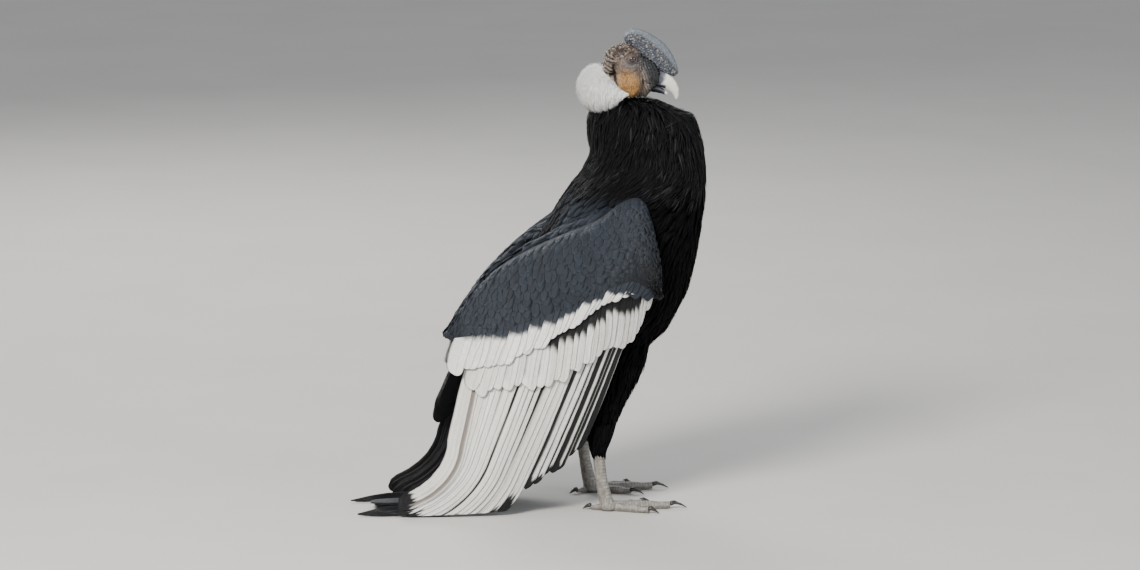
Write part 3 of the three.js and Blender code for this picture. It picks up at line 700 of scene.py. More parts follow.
MEDIAN_COVERTS = dict(
    roots=[(118, -92), (112, -44), (165, 2), (228, 45), (300, 92), (350, 148)],
    tips=[(146, -84), (160, -38), (230, 0), (312, 33), (390, 72), (450, 122)],
    count=32, half=15, front=0.75, vary=12, depth=-2.0, tilt=0.06, rings=24, outline=ROUND_TIP, seed=11)
GREATER_COVERTS = dict(
    roots=[(112, -88), (112, -48), (160, -6), (215, 36), (275, 78), (328, 122)],
    tips=[(158, -100), (224, -108), (280, -68), (350, -30), (410, 22), (464, 88)],
    count=28, half=13, front=0.65, vary=20, depth=-7.5, tilt=0.08, rings=46, outline=ROUND_TIP, seed=23)
SECONDARIES = dict(
    roots=[(118, -76), (142, -30), (196, 12), (256, 56), (310, 98), (352, 134)],
    tips=[(452, -146), (545, -112), (632, -76), (700, -42), (740, -14), (742, 6)],
    count=23, half=17, front=0.62, vary=22, depth=-16, tilt=0.1, rings=64, outline=BLUNT_TIP, last=0.7,
    seed=37)
PRIMARIES = dict(
    roots=[(112, -84), (122, -66), (140, -50)],
    tips=[(690, -46), (780, -14), (822, 4)],
    count=9, half=20, front=0.6, vary=6, depth=-27, tilt=0.03, rings=46, outline=NARROW_TIP, stack=1.1,
    bow=32, seed=41)
TERTIALS = dict(
    roots=[(312, 122), (334, 134)],
    tips=[(556, 96), (524, 106)],
    count=3, half=26, front=1, vary=4, depth=-24, tilt=0.02, rings=24, outline=ROUND_TIP, stack=1.2, seed=47)
ROW_COLUMNS, ROW_THICK, SHAFT_RISE = 11, 0.5, 0.35


def row_object(name, side, row, tint):
    """One row of long wing feathers, each laid on the sheet across its whole width."""
    rng = np.random.default_rng(row["seed"] + (50 if side > 0 else 0))
    count, rings = row["count"], row["rings"]
    place = np.linspace(0, 1, count)
    place[1:-1] += rng.uniform(-0.28, 0.28, count - 2) / count

    def each(values):
        return np.asarray(values)[:, None, None]

    rs, rn = on_curve(row["roots"], place)
    ts, tn = on_curve(row["tips"], place)
    reach = np.hypot(ts - rs, tn - rn)
    ds, dn = each((ts - rs) / reach), each((tn - rn) / reach)
    long = each(reach + rng.uniform(-0.5, 0.5, count) * row["vary"])
    half = row["half"] * rng.uniform(0.85, 1.15, count)
    half[-1] *= row.get("last", 1)
    depth = row["depth"] - row.get("stack", 0) * np.arange(count) + rng.uniform(-0.25, 0.25, count)
    sway = rng.normal(0, 1.4, count)
    c, under = vane_section(ROW_COLUMNS)
    shares = np.sin(np.linspace(0, math.pi / 2, rings))
    wobble = [[(i * 7.3, k * 0.35, 0) for k in range(rings)] for i in range(count)]
    ragged = 1 + 0.05 * np.array([noise_at(line, 1.0) for line in wobble])
    width = half[:, None] * along(row["outline"], shares) * ragged
    across = c * width[..., None] * np.where(c > 0, row["front"], 2 - row["front"])
    t = shares[None, :, None]
    bent = across + row.get("bow", 0) * np.sin(np.pi * t) + each(sway) * np.sin(TURN * t)
    lift = SHAFT_RISE * np.exp(-((c * 6) ** 2)) * ~under - ROW_THICK * under
    out = each(depth) + row["tilt"] * across + lift
    s, n = each(rs) + ds * long * t + dn * bent, each(rn) + dn * long * t - ds * bent
    points = sheet_point(s, n, out, side)
    points[..., 2] = np.maximum(points[..., 2], FLOOR_REST)
    if side < 0:
        points, c = points[:, :, ::-1], c[::-1]
    bake = np.stack([0.1 + 0.8 * place, np.full(count, 0.5)], -1)
    return vane_mesh(name, to_frame(points), shares, c, bake, lambda t, c: tint(each(place), t, c, rng))


# Where a covert turns white, as a share of its length, against its place in the row
MEDIAN_EDGE = [(0, 1.1), (0.12, 1.0), (0.2, 0.8), (0.3, 0.55), (0.4, 0.42), (0.6, 0.4), (1, 0.3)]
GREATER_EDGE = [(0, 0.36), (0.2, 0.42), (0.4, 0.4), (0.55, 0.45), (0.7, 0.44), (0.82, 0.3), (1, 0.2)]


def streaks(count, t, c, rng, scale):
    """Soft streaks that run the length of each feather, unlike from one to the next."""
    phase = rng.uniform(0, 6.28, (count, 1, 1))
    tone = rng.uniform(0, 0.6, (count, 1, 1))
    return clamp(tone + 0.5 * wave(c * scale + phase + 2.5 * t))


def median_tint(place, t, c, rng):
    """Slate that turns white at the tips, further up the feather towards the rear."""
    edge = along(MEDIAN_EDGE, place) + rng.uniform(-0.07, 0.07, place.shape)
    grey = 0.6 * streaks(len(place), t, c, rng, 5)
    return mix(SLATE, mix(WHITE, CREAM, grey), step_up(t + 0.06 * np.abs(c), edge, edge + 0.12))


def greater_tint(place, t, c, rng):
    """Black roots, then white with greyer inner webs."""
    edge = along(GREATER_EDGE, place) + rng.uniform(-0.04, 0.04, place.shape)
    white = mix(WHITE, CREAM, 0.9 * streaks(len(place), t, c, rng, 6))
    inner = step_up(-c, 0.25, 0.45) * (1 - step_up(t, 0.8, 0.93)) * (1 - step_up(place, 0.75, 0.95))
    white = mix(white, WEB_GREY, 0.8 * inner)
    return mix(SOOT, white, step_up(t - 0.06 * np.abs(c), edge, edge + 0.1))


def secondary_tint(place, t, c, rng):
    """White outer webs with dark inner webs and black tips. The foremost keep only a white edge."""
    outer = 1 - step_up(place, 0.04, 0.34)
    ripple = 0.06 * np.sin(9 * t + place * 50) + rng.uniform(-0.07, 0.07, place.shape)
    # On some feathers gap moves the edge of the dark inner web forward, so a dark line shows just in front of
    # the feather that overlaps it: painted shade in the gap, on top of the inner webs' own black.
    gap = 0.3 * (rng.uniform(0, 1, place.shape) > 0.7)
    web = -0.22 + 0.95 * outer + gap - 1.4 * step_up(place, 0.95, 0.99) + ripple
    white = mix(WHITE, CREAM, streaks(len(place), t, c, rng, 8))
    dusky = step_up(rng.uniform(0, 1, place.shape), 0.6, 0.9)
    smudge = dusky * hump(t, 0.72 + 0.2 * np.sin(place * 40), 0.06) * hump(c, 0.2, 0.3)
    # Brown over the feathers next to the rearmost one: partly a brown feather's own colour and partly painted
    # shade in the gap between the hindmost white feathers.
    brown = hump(place, 0.955, 0.02) * (1 - step_up(c, 0.5, 0.9))
    white = painted(white, (SMUDGE, 0.75 * smudge), (WEB_BROWN_AND_SHADE, 0.9 * brown))
    tip = step_up(t + 0.01 * np.sin(c * 9 + place * 70), 0.938, 0.955)
    return painted(WEB_BLACK, (white, step_up(c, web - 0.05, web + 0.08)), (SOOT, tip))


def primary_tint(place, t, c, rng):
    return mix(PRIMARY_GREY, SOOT, step_up(t, 0.3, 0.9))


def pad_sheet(u, v):
    """Distances s and n on the sheet at shares u along the wing pad and v down it."""
    s0, n0 = on_curve(PAD_UPPER, u)
    s1, n1 = on_curve(PAD_LOWER, u)
    return s0 + (s1 - s0) * v, n0 + (n1 - n0) * v


def pad_places(u, v, side, drop):
    """The wing pad's outer surface at shares u along and v down it, sunk by `drop` millimetres."""
    rim = np.minimum(1, v / 0.22)
    top = -13 * (1 - rim) ** 2 + PAD_BULGE * np.sin(np.pi * clamp(v)) - 1
    return sheet_point(*pad_sheet(u, v), top - drop, side)


def small_coverts(name, side, tree):
    """Scalloped small coverts in staggered rows over the wing pad, smallest at the upper edge."""
    rng = np.random.default_rng(300 + side)
    us, vs = [], []
    for j in range(PAD_ROWS):
        v = -0.01 + 0.93 * j / (PAD_ROWS - 1)
        many = int(46 - 8 * v)
        us += list((np.arange(many) + 0.5 * (j % 2) + rng.uniform(-0.3, 0.3, many)) / many)
        vs += list(v + rng.uniform(-0.02, 0.02, many))
    us, vs = np.clip(us, 0.004, 0.996), clamp(vs)
    count = len(us)
    s, n = pad_sheet(us, vs)
    turn = 0.32 + 0.25 * (1 - us)
    aims = unit(sheet_point(s + 6, n - 6 * turn, 0, side) - sheet_point(s, n, 0, side))
    aims = unit(aims + rng.normal(0, 0.05, aims.shape))
    long = (27 + 15 * vs) * MM * rng.uniform(0.88, 1.12, count)
    heights = (-1.0 + 1.9 * BODY_RISE + rng.uniform(-0.15, 0.15, (count, 1))) * MM
    centre, up = creep(tree, to_frame(pad_places(us, vs, side, PAD_SINK)), aims, long, BODY_RINGS, heights)
    wide = (8 + 4.5 * vs) * MM * rng.uniform(0.88, 1.12, count)
    base = mix(SLATE, SLATE_DARK, rng.uniform(0, 1, count))
    base = mix(COVERT_BLACK, base, step_up(us - 0.1 * vs, 0.08, 0.36))
    pale = base * (1 + rng.uniform(0, 0.7, (count, 1)))
    # Each covert is darker at its root, which is painted shade under the covert above it, and paler by a
    # random amount at its tip.
    colours = lambda t, c: mix(base[:, None, None] * 0.9, pale[:, None, None], step_up(t, 0.6, 1))
    width = wide[:, None] * along(CONTOUR, BODY_RINGS)
    bake = 0.05 + 0.9 * np.stack([us, vs], -1)
    return vane_object(name, centre, up, width, 5, COVERT_THICK, COVERT_CAMBER, bake, colours)


# Tail

TAIL_COUNT, TAIL_RINGS = 12, 48
TAIL_ROOT, TAIL_TIP, TAIL_HALF = 432, 792, 25
TAIL_ROOT_GAP, TAIL_TIP_GAP, TAIL_STACK, TAIL_REST = 5.0, 7.5, 1.25, -0.1
TAIL_FLOOR = 0.35


def tail_object():
    """The twelve tail feathers, stacked from the outermost to the middle pair."""
    rng = np.random.default_rng(5)
    middle = (TAIL_COUNT - 1) / 2
    rank = (np.arange(TAIL_COUNT) - middle)[:, None]
    order = 2 * (middle - np.abs(rank)) + (rank > 0)
    long = TAIL_TIP - TAIL_ROOT - 3.5 * np.abs(rank) + rng.uniform(-3, 3, rank.shape)
    t = np.linspace(0, 1, TAIL_RINGS)
    s = TAIL_ROOT + long * t
    free = -46 - (s - TAIL_ROOT) * 0.22
    n = smooth_max(free, floor_offset(s, TAIL_REST), 12) + TAIL_STACK * order + 0.45
    centre = lean_point(s, n, rank * (TAIL_ROOT_GAP + (TAIL_TIP_GAP - TAIL_ROOT_GAP) * t))
    centre[..., 2] = np.maximum(centre[..., 2], TAIL_FLOOR)
    up = unit(np.cross([0.0, 1.0, 0.0], unit(np.gradient(centre, axis=1))))
    up = up * np.sign(up[..., 2:3])
    width = TAIL_HALF * MM * along(ROUND_TIP, t) * np.ones_like(rank)
    bake = np.stack([0.1 + 0.8 * np.arange(TAIL_COUNT) / TAIL_COUNT, np.full(TAIL_COUNT, 0.5)], -1)
    shade = lambda t, c: mix(TAIL_GREY, SOOT, t)
    return vane_object("tail_feathers", to_frame(centre), up, width, 7, 0.0005, 0.02, bake, shade)


# Ruff of white down: an arc round the nape, with its sizes against the share of the way to an end

RUFF_ARC = math.radians(102)
RUFF_X, RUFF_Z = 42, 776
RUFF_RADIUS = [(0, 48), (0.5, 54), (1, 52)]
RUFF_RISE = [(0, 9), (0.5, 2), (1, 2)]
RUFF_CORE = [(0, 20), (0.35, 16), (0.6, 9), (0.8, 3), (1, 1)]
RUFF_REACH = [(0, 44), (0.35, 37), (0.6, 24), (0.78, 11), (0.9, 4), (1, 2)]
RUFF_FLAT, RUFF_END, RUFF_CORE_SWELL = 0.84, 0.9, 1.25
RUFF_TUFTS, RUFF_RINGS = 7000, 4


def ruff_place(angle, turn, far):
    """The collar's middle at an angle round the nape, and the step out of it, `far` long, at a turn."""
    share = np.abs(angle) / RUFF_ARC
    radius, rise = along(RUFF_RADIUS, share), along(RUFF_RISE, share)
    away = np.stack([-np.cos(angle), np.sin(angle), 0 * angle], -1)
    middle = np.array([RUFF_X, 0, RUFF_Z]) + away * radius[..., None] + UP * rise[..., None]
    out = away * (np.cos(turn) * far * RUFF_FLAT)[..., None] + UP * (np.sin(turn) * far)[..., None]
    return middle, out


def ruff_core_object():
    """The soft core under the down: a flattened round section carried along the collar's arc."""
    angle = (RUFF_ARC * RUFF_END * np.linspace(-1, 1, 49))[:, None]
    turn = np.linspace(0, TURN, 24, endpoint=False)
    middle, out = ruff_place(angle, turn, along(RUFF_CORE, np.abs(angle) / RUFF_ARC) * RUFF_CORE_SWELL)
    core = from_rings("ruff_core", to_frame(middle + out), False)
    set_tint(core, RUFF_SKIN)
    return core


def ruff_down_object(name, reach, width, bend, seed):
    """Fine curved tufts that leave the core and turn down along the collar by about `bend` radians."""
    rng = np.random.default_rng(seed)
    angle = RUFF_ARC * RUFF_END * rng.uniform(-1, 1, (RUFF_TUFTS, 1))
    share = np.abs(angle) / RUFF_ARC
    start = np.radians(rng.uniform(-70, 140, angle.shape))
    far = along(RUFF_REACH, share) * rng.uniform(*reach, angle.shape)
    near = along(RUFF_CORE, share) * 0.9
    t = np.linspace(0, 1, RUFF_RINGS)
    turn = start - (bend + rng.normal(0, 0.25, angle.shape)) * t
    lock = 4 * np.sin(angle * 31 + 3 * start) + rng.normal(0, 4, angle.shape)
    skew = (lock * t**1.5 + rng.normal(0, 0.9, turn.shape) * t) * (1 - 0.8 * share)
    skew = skew - 7 * np.sign(angle) * step_up(share, 0.5, 0.9) * t
    middle, out = ruff_place(angle, turn, near + (far - near) * np.sin(t * math.pi / 2))
    sideways = np.stack([np.sin(angle), np.cos(angle), 0 * angle], -1)
    centre = middle + out + sideways * skew[..., None]
    up = square_to(unit(out), unit(np.gradient(centre, axis=1)))
    half = rng.uniform(*width, angle.shape) * along(TUFT, t) * MM
    bake = np.concatenate([0.5 + 0.45 * angle / RUFF_ARC, 0.5 + 0.4 * start / 2.5], -1)
    tone = rng.uniform(0.95, 1.0, RUFF_TUFTS)[:, None, None]
    # Each tuft is slightly darker at its root: painted shade inside the down.
    shade = lambda t, c: np.array(DOWN) * (tone * (0.95 + 0.05 * t))[..., None]
    return vane_object(name, to_frame(centre), up, half, 3, 0.0003, 0.2, bake, shade)


# Head

COMB_LINE = [(46, 873), (57, 878), (71, 873), (87, 860), (103, 845), (119, 830), (134, 816), (144, 807)]
COMB_DEEP = [(0, 8), (0.14, 17), (0.28, 21), (0.43, 25), (0.57, 27), (0.71, 23), (0.86, 15), (1, 8)]


def relieve(obj, relief):
    """Raises a skin's relief and paints it, from its places on the bird."""
    height, colour = relief(to_bird(of_points(obj, "co")))
    push(obj, height * MM)
    set_tint(obj, np.clip(colour, 0.002, 1))
    return obj


def comb_side(places):
    """How far places lie outside the comb's middle line, and how deep the comb is there, in millimetres."""
    x, _, z = places.T
    t = np.linspace(0, 1, 60)
    cx, cz = on_curve(COMB_LINE, t)
    nearest = np.argmin((x[:, None] - cx) ** 2 + (z[:, None] - cz) ** 2, axis=1)
    tx, tz = np.gradient(cx)[nearest], np.gradient(cz)[nearest]
    outward = (-(x - cx[nearest]) * tz + (z - cz[nearest]) * tx) / np.hypot(tx, tz)
    return outward, along(COMB_DEEP, t[nearest])


def pebbles(places):
    """The comb's pebbles, which go on over the skin beside it."""
    return cells(places, 4.6, 0.03, 0.42)


def head_relief(places):
    """Folds of the bare head in millimetres, and its colours, at some places of the bird."""
    x, y, z = places.T
    warp = noise_at(places, 0.055, 3) * 5
    fine = noise_at(places, 0.4, 8)
    side, flank = step_up(np.abs(y), 6, 18), step_up(np.abs(y), 18, 24)
    eye = np.hypot(x - EYE_X, z - EYE_Z)
    free = 1 - hump(eye, 0, 12) * side * 0.8
    outward, deep = comb_side(places)
    by_comb = (1 - step_up(-outward - deep, 3, 15)) * step_up(x, 58, 70)
    nape = (1 - step_up(x + 0.15 * (z - 800), 19, 32)) * step_up(z, 760, 775)
    crown = step_up(z, 836, 848) * (1 - step_up(x, 52, 66))
    cheek = hump(x, 46, 22) * hump(z, 793, 24) * side * (1 - nape)
    yellow = hump(x, 46, 21) * hump(z, 790, 24) * side
    lore = step_up(x, 62, 72) * (1 - step_up(z, 832, 842))
    crease = hump(x + 0.15 * (z - 800) + warp * 0.6, 24, 2.6) * (1 - step_up(z, 828, 840)) * side
    brow = hump(x, 52, 13) * hump(z, 855, 5) * side
    pouch = hump(x, 55, 11) * hump(z, 827.5, 2.6) * side
    fold = np.power(wave(z + 0.45 * x + warp * 1.4, 8.2), 0.6)
    stripe = wave(x + 0.22 * (z - 790) + warp * 0.5, 3.1)
    lore_fold = wave(x + 0.3 * (z - 800) + warp, 5.6)
    knob = cells(places + warp[:, None] * 0.4, 8.5, 0.04, 0.45)
    skin = cells(places, 3.4, 0.02, 0.3)
    pebble = pebbles(places)
    height = (
        2.6 * (fold - 0.6) * nape * free
        + 2.2 * (knob - 0.6) * crown * free
        + 1.6 * cheek
        + 0.9 * (stripe - 0.5) * cheek
        + 1.3 * (lore_fold - 0.5) * lore * side * free
        - 2.2 * crease
        + 0.35 * (skin - 0.5)
        + 0.25 * fine
        + 1.2 * (pebble - 0.5) * by_comb
        + 2.0 * brow
        + 1.0 * pouch
        - 0.8 * hump(eye, 11.0, 2.2) * flank
    )
    # The colours paint shade in the troughs of the nape's folds, in the gaps between the crown's knobs, in
    # the lore's folds, in the crease and between the cheek's ridges.
    colour = painted(
        mix(HEAD_BROWN, HEAD_GREY, clamp(0.35 + warp * 0.08)),
        (np.array(HEAD_BROWN) * 1.25, crown * 0.7),
        (HEAD_FOLD_SHADE, clamp((1 - fold) * 1.1 * nape + (1 - knob) * 0.8 * crown)),
        # Painted highlights on the tops of the nape's folds and the crown's knobs.
        (HEAD_HIGHLIGHT, 0.6 * clamp(fold**4 * nape + knob**3 * crown * 0.8)),
        (HEAD_GREY, lore * 0.8),
        (HEAD_FOLD_SHADE, clamp((0.75 - lore_fold) * lore * side) * 0.8),
        (CHEEK, clamp(yellow * 1.7 - 0.15 + 0.03 * warp)),
        (np.array(CHEEK) * 0.35, clamp(yellow * 1.3) * (1 - stripe) * 0.75),
        (EYE_BLUE, hump(np.hypot((x - EYE_X) * 0.8, z - EYE_Z + 6), 0, 11) * side * 0.8),
        (HEAD_FOLD_SHADE, clamp(crease * 1.2)),
        (EYE_RING, hump(eye, 9.0, 2.4) * flank * 0.8),
        (mix(COMB_DARK, LORE_PEBBLE, pebble), by_comb * 0.8),
        (BILL_SKIN, step_up(x + 0.2 * (z - 800), 80, 92) * 0.9),
    )
    return height, colour * np.clip(0.55 + 0.45 * (skin - 0.4) + 0.2 * fine, 0.2, 1.2)[:, None]


def comb_relief(places):
    """Pebbles of the comb in millimetres, smooth along its outer edge, and its colours."""
    outward, deep = comb_side(places)
    edge = outward / deep
    rim = step_up(edge, 0.35, 0.62)
    pebble, grain = pebbles(places), cells(places + 40, 2.3, 0.02, 0.3)
    fine = noise_at(places, 0.3, 4)
    height = (1 - rim) * 1.25 * (pebble - 0.5) + (0.3 - 0.1 * rim) * (grain - 0.5) + 0.5 * fine
    speck = step_up(noise_at(places, 0.25, 19), 0.05, 0.35) * pebble * hump(edge, 0.05, 0.45)
    return height, painted(
        mix(COMB_DARK, COMB_GREY, clamp(pebble * 0.8 + fine * 0.5)),
        (COMB_SPECK, speck * 0.7),
        (mix(RIM_DARK, RIM_PALE, clamp(0.5 + fine)), rim),
    )


def bill_relief(places):
    """A faint grain, and colours that go from dark at the bill's base to ivory towards its tip."""
    x, _, z = places.T
    fine = noise_at(places, 0.12, 6)
    lower = (1 - step_up(z, 784, 790)) * (1 - step_up(x, 118, 128))
    forward = x + 0.35 * (800 - z) + 4 * fine - 16 * lower
    colour = mix(BILL_DARK, BILL_GREY, step_up(forward, 104, 117))
    colour = mix(colour, IVORY, step_up(forward, 115, 124))
    streak = 0.5 + 0.5 * noise_at(places * [0.3, 1.0, 1.0], 0.5, 12)
    return 0.12 * fine, colour * (0.88 + 0.16 * streak)[:, None]


def eye_axes(side):
    """An eye's centre in the frame, and the way it looks."""
    return Vector(to_frame((EYE_X, side * EYE_DEEP, EYE_Z))), Vector((0.22, side, 0.02)).normalized()


def eye_object(name, side):
    """An eyeball with a dark red-brown iris and a black pupil, painted about its own gaze."""
    centre, gaze = eye_axes(side)
    bm = bmesh.new()
    bmesh.ops.create_uvsphere(bm, u_segments=64, v_segments=48, radius=EYE_RADIUS * MM)
    turn = Vector((0, 0, 1)).rotation_difference(gaze).to_matrix()
    bmesh.ops.rotate(bm, cent=(0, 0, 0), matrix=turn, verts=bm.verts)
    for v in bm.verts:
        v.co *= 1 + 0.05 * max(0.0, v.co.normalized().dot(gaze)) ** 6
    bmesh.ops.translate(bm, vec=centre, verts=bm.verts)
    eye = from_bmesh(name, bm)
    rel = unit(of_points(eye, "co") - np.array(centre))
    off = np.degrees(np.arccos(np.clip(rel @ np.array(gaze), -1, 1)))
    iris = mix(IRIS, IRIS_EDGE, step_up(off, 24, 38))
    set_tint(eye, painted(PUPIL, (iris, step_up(off, 18, 21)), (EYE_CORNER, step_up(off, 38, 44))))
    return eye


# The lids' section as (degrees from the opening's rim, millimetres from the eye's centre)
LIDS = [(0, 9.15), (-1.5, 9.5), (0, 10.0), (4, 10.35), (9, 10.3), (14, 9.9), (18, 10.2), (24, 10.3),
        (31, 10.2), (36, 9.9), (42, 10.1), (50, 9.9), (60, 9.3), (60, 8.8), (40, 8.8), (20, 8.8), (8, 8.9)]
LIDS_OUTER = 2, 12
LIDS_AROUND = 96


def lids_object(name, side):
    """The lids: a wrinkled shell over the eyeball with an almond-shaped opening."""
    centre, gaze = eye_axes(side)
    forward = Vector((1, 0, -0.16))
    forward = (forward - gaze * forward.dot(gaze)).normalized()
    above = gaze.cross(forward) * side
    turn = np.linspace(0, TURN, LIDS_AROUND, endpoint=False)[:, None]
    degrees, far = np.array(LIDS).T
    k = np.arange(len(LIDS))
    outer_face = (k >= LIDS_OUTER[0]) & (k <= LIDS_OUTER[1])
    crimp = (0.2 * np.sin(turn * 19 + k) + 0.15 * np.sin(turn * 33 - 2 * k)) * outer_face
    rim = 25 + 14 * np.abs(np.cos(turn)) ** 1.6 - 3 * np.maximum(0, np.sin(turn))
    angle = np.radians(rim + degrees)[..., None]
    out = np.cos(turn) * np.array(forward) + np.sin(turn) * np.array(above) * np.sign(above.z)
    way = np.array(gaze) * np.cos(angle) + out[:, None] * np.sin(angle)
    lids = from_rings(name, np.array(centre) + way * (far + crimp)[..., None] * MM, True)
    places = to_bird(of_points(lids, "co"))
    near = step_up(np.hypot(places[:, 0] - EYE_X, places[:, 2] - EYE_Z), 4.5, 8)
    outer = mix(LID, np.array(EYE_BLUE) * 0.7, step_up(EYE_Z - places[:, 2], 1, 6))
    set_tint(lids, mix(LID_EDGE, outer, clamp(near + 0.3 * noise_at(places, 0.5, 8))))
    return lids


# Legs, with each toe's turn in degrees and length in millimetres

TOES = {"middle": (2, 118), "outer": (30, 82), "inner": (-27, 78), "hind": (200, 34)}
TOE_TAPER, TOE_TAPER_RUN = 1.7, 20
CLAW_SWELL = 1.6


def toe_lines(places, side):
    """For each toe its length, and how far places lie along it and to its side."""
    x, y = places[:, 0], places[:, 1] - side * LEG_Y
    for angle, length in TOES.values():
        a = math.radians(angle) * side
        yield length, x * math.cos(a) + y * math.sin(a), np.abs(y * math.cos(a) - x * math.sin(a))


def leg_relief(side):
    """Scutes across the top of each toe and down the shank's front, with small round scales elsewhere."""
    def relief(places):
        x, _, z = places.T
        across, far, taper = np.full(len(x), 1e9), np.zeros(len(x)), np.zeros(len(x))
        for length, ahead, beside in toe_lines(places, side):
            closer = (ahead > 2) & (ahead < length + 6) & (beside < across)
            far = np.where(closer, ahead, far)
            taper = np.where(closer, TOE_TAPER * step_up(ahead, length - TOE_TAPER_RUN, length), taper)
            across = np.where(closer, beside, across)
        toe = (across < 20) & (z < 24)
        front = x > along([(9, -1), (60, -13), (126, -20)], z)
        scute = np.power(np.sin(np.pi * (np.where(toe, far / 5.4, z / 6.2) % 1.0)), 0.45)
        top = np.where(toe, step_up(z, 6.5, 9.5), front)
        scale = cells(places, 2.6, 0.02, 0.4)
        height = top * 0.5 * (scute - 0.6) + (1 - top) * 0.5 * (scale - 0.5)
        height = height * (1 - 0.8 * taper / TOE_TAPER) - taper * step_up(-z, -30, -20)
        height = np.where(z < 1.2, np.minimum(height, 0), height)
        seam = clamp(top * (1 - scute) * 1.5 + (1 - top) * (1 - scale))
        fine = noise_at(places, 0.15, 2)
        base = mix(SCALE, SCALE_PALE, clamp(0.45 + fine))
        return height, painted(base, (SHANK, step_up(z, 70, 130) * 0.4), (SCALE_SEAM, seam * 0.6))
    return relief


def claw_relief(side):
    """Thickens each claw's base to fill the toe's end, and colours the horn."""
    def relief(places):
        fine = noise_at(places, 0.3, 5)
        swell = np.zeros(len(places))
        for length, ahead, beside in toe_lines(places, side):
            swollen = CLAW_SWELL * (1 - step_up(ahead, length - 3, length + 16))
            swell = np.where((beside < 12) & (ahead > 0), swollen, swell)
        return 0.06 * fine + swell, mix(CLAW, CLAW_DARK, clamp(0.5 + fine))
    return relief


# Sizes and colours that a user would change


def length_value(name, description, default):
    return bpy.props.FloatProperty(name=name, description=description, default=default, unit="LENGTH")


def angle_value(name, description, degrees):
    return bpy.props.FloatProperty(name=name, description=description, default=math.radians(degrees),
                                   subtype="ANGLE")


def colour_value(name, description, default):
    return bpy.props.FloatVectorProperty(name=name, description=description, default=default, subtype="COLOR")


class CondorCoat(bpy.types.PropertyGroup):
    skin_voxel: length_value("Skin grain", "Face size of the body's skin", 0.005)
    feather_gap: length_value("Feather gap", "Distance between two body feathers' roots", 0.006)
    black: colour_value("Black plumage", "Colour of the body's feathers", (0.0035, 0.0035, 0.0045))
    slate: colour_value("Slate plumage", "Colour of the back's feathers", SLATE)


class CondorHead(bpy.types.PropertyGroup):
    skin_voxel: length_value("Head grain", "Face size of the head's skin", 0.001)
    comb_voxel: length_value("Comb grain", "Face size of the comb's flesh", 0.0009)


class CondorStage(bpy.types.PropertyGroup):
    distance: length_value("Distance", "From the camera to the bird", 12.0)
    azimuth: angle_value("Azimuth", "Turn of the camera round the bird", -10)
    elevation: angle_value("Elevation", "Camera's height above the horizon", 10)
    view_width: length_value("View width", "Width that the camera takes in at the bird", 2.143)


# Operators

BILL_VOXEL, LEG_VOXEL, CLAW_VOXEL = 0.0008, 0.0011, 0.0006


class BodySkin(bpy.types.Operator):
    """Makes the one skin under the body's, neck's and thighs' feathers"""
    bl_idname = "condor.body_skin"
    bl_label = "Body skin"

    def execute(self, context):
        nodes = ("torso", "neck", "thigh_right", "thigh_left")
        skin = sculpt("body_skin", nodes, context.scene.condor_coat.skin_voxel, 12)
        push(skin, -COAT_DEPTH * MM)
        set_tint(skin, SOOT)
        settle(skin, "plumage", skin_material("dark_skin", 0.8, 300.0, 0.0005), *nodes)
        return {"FINISHED"}


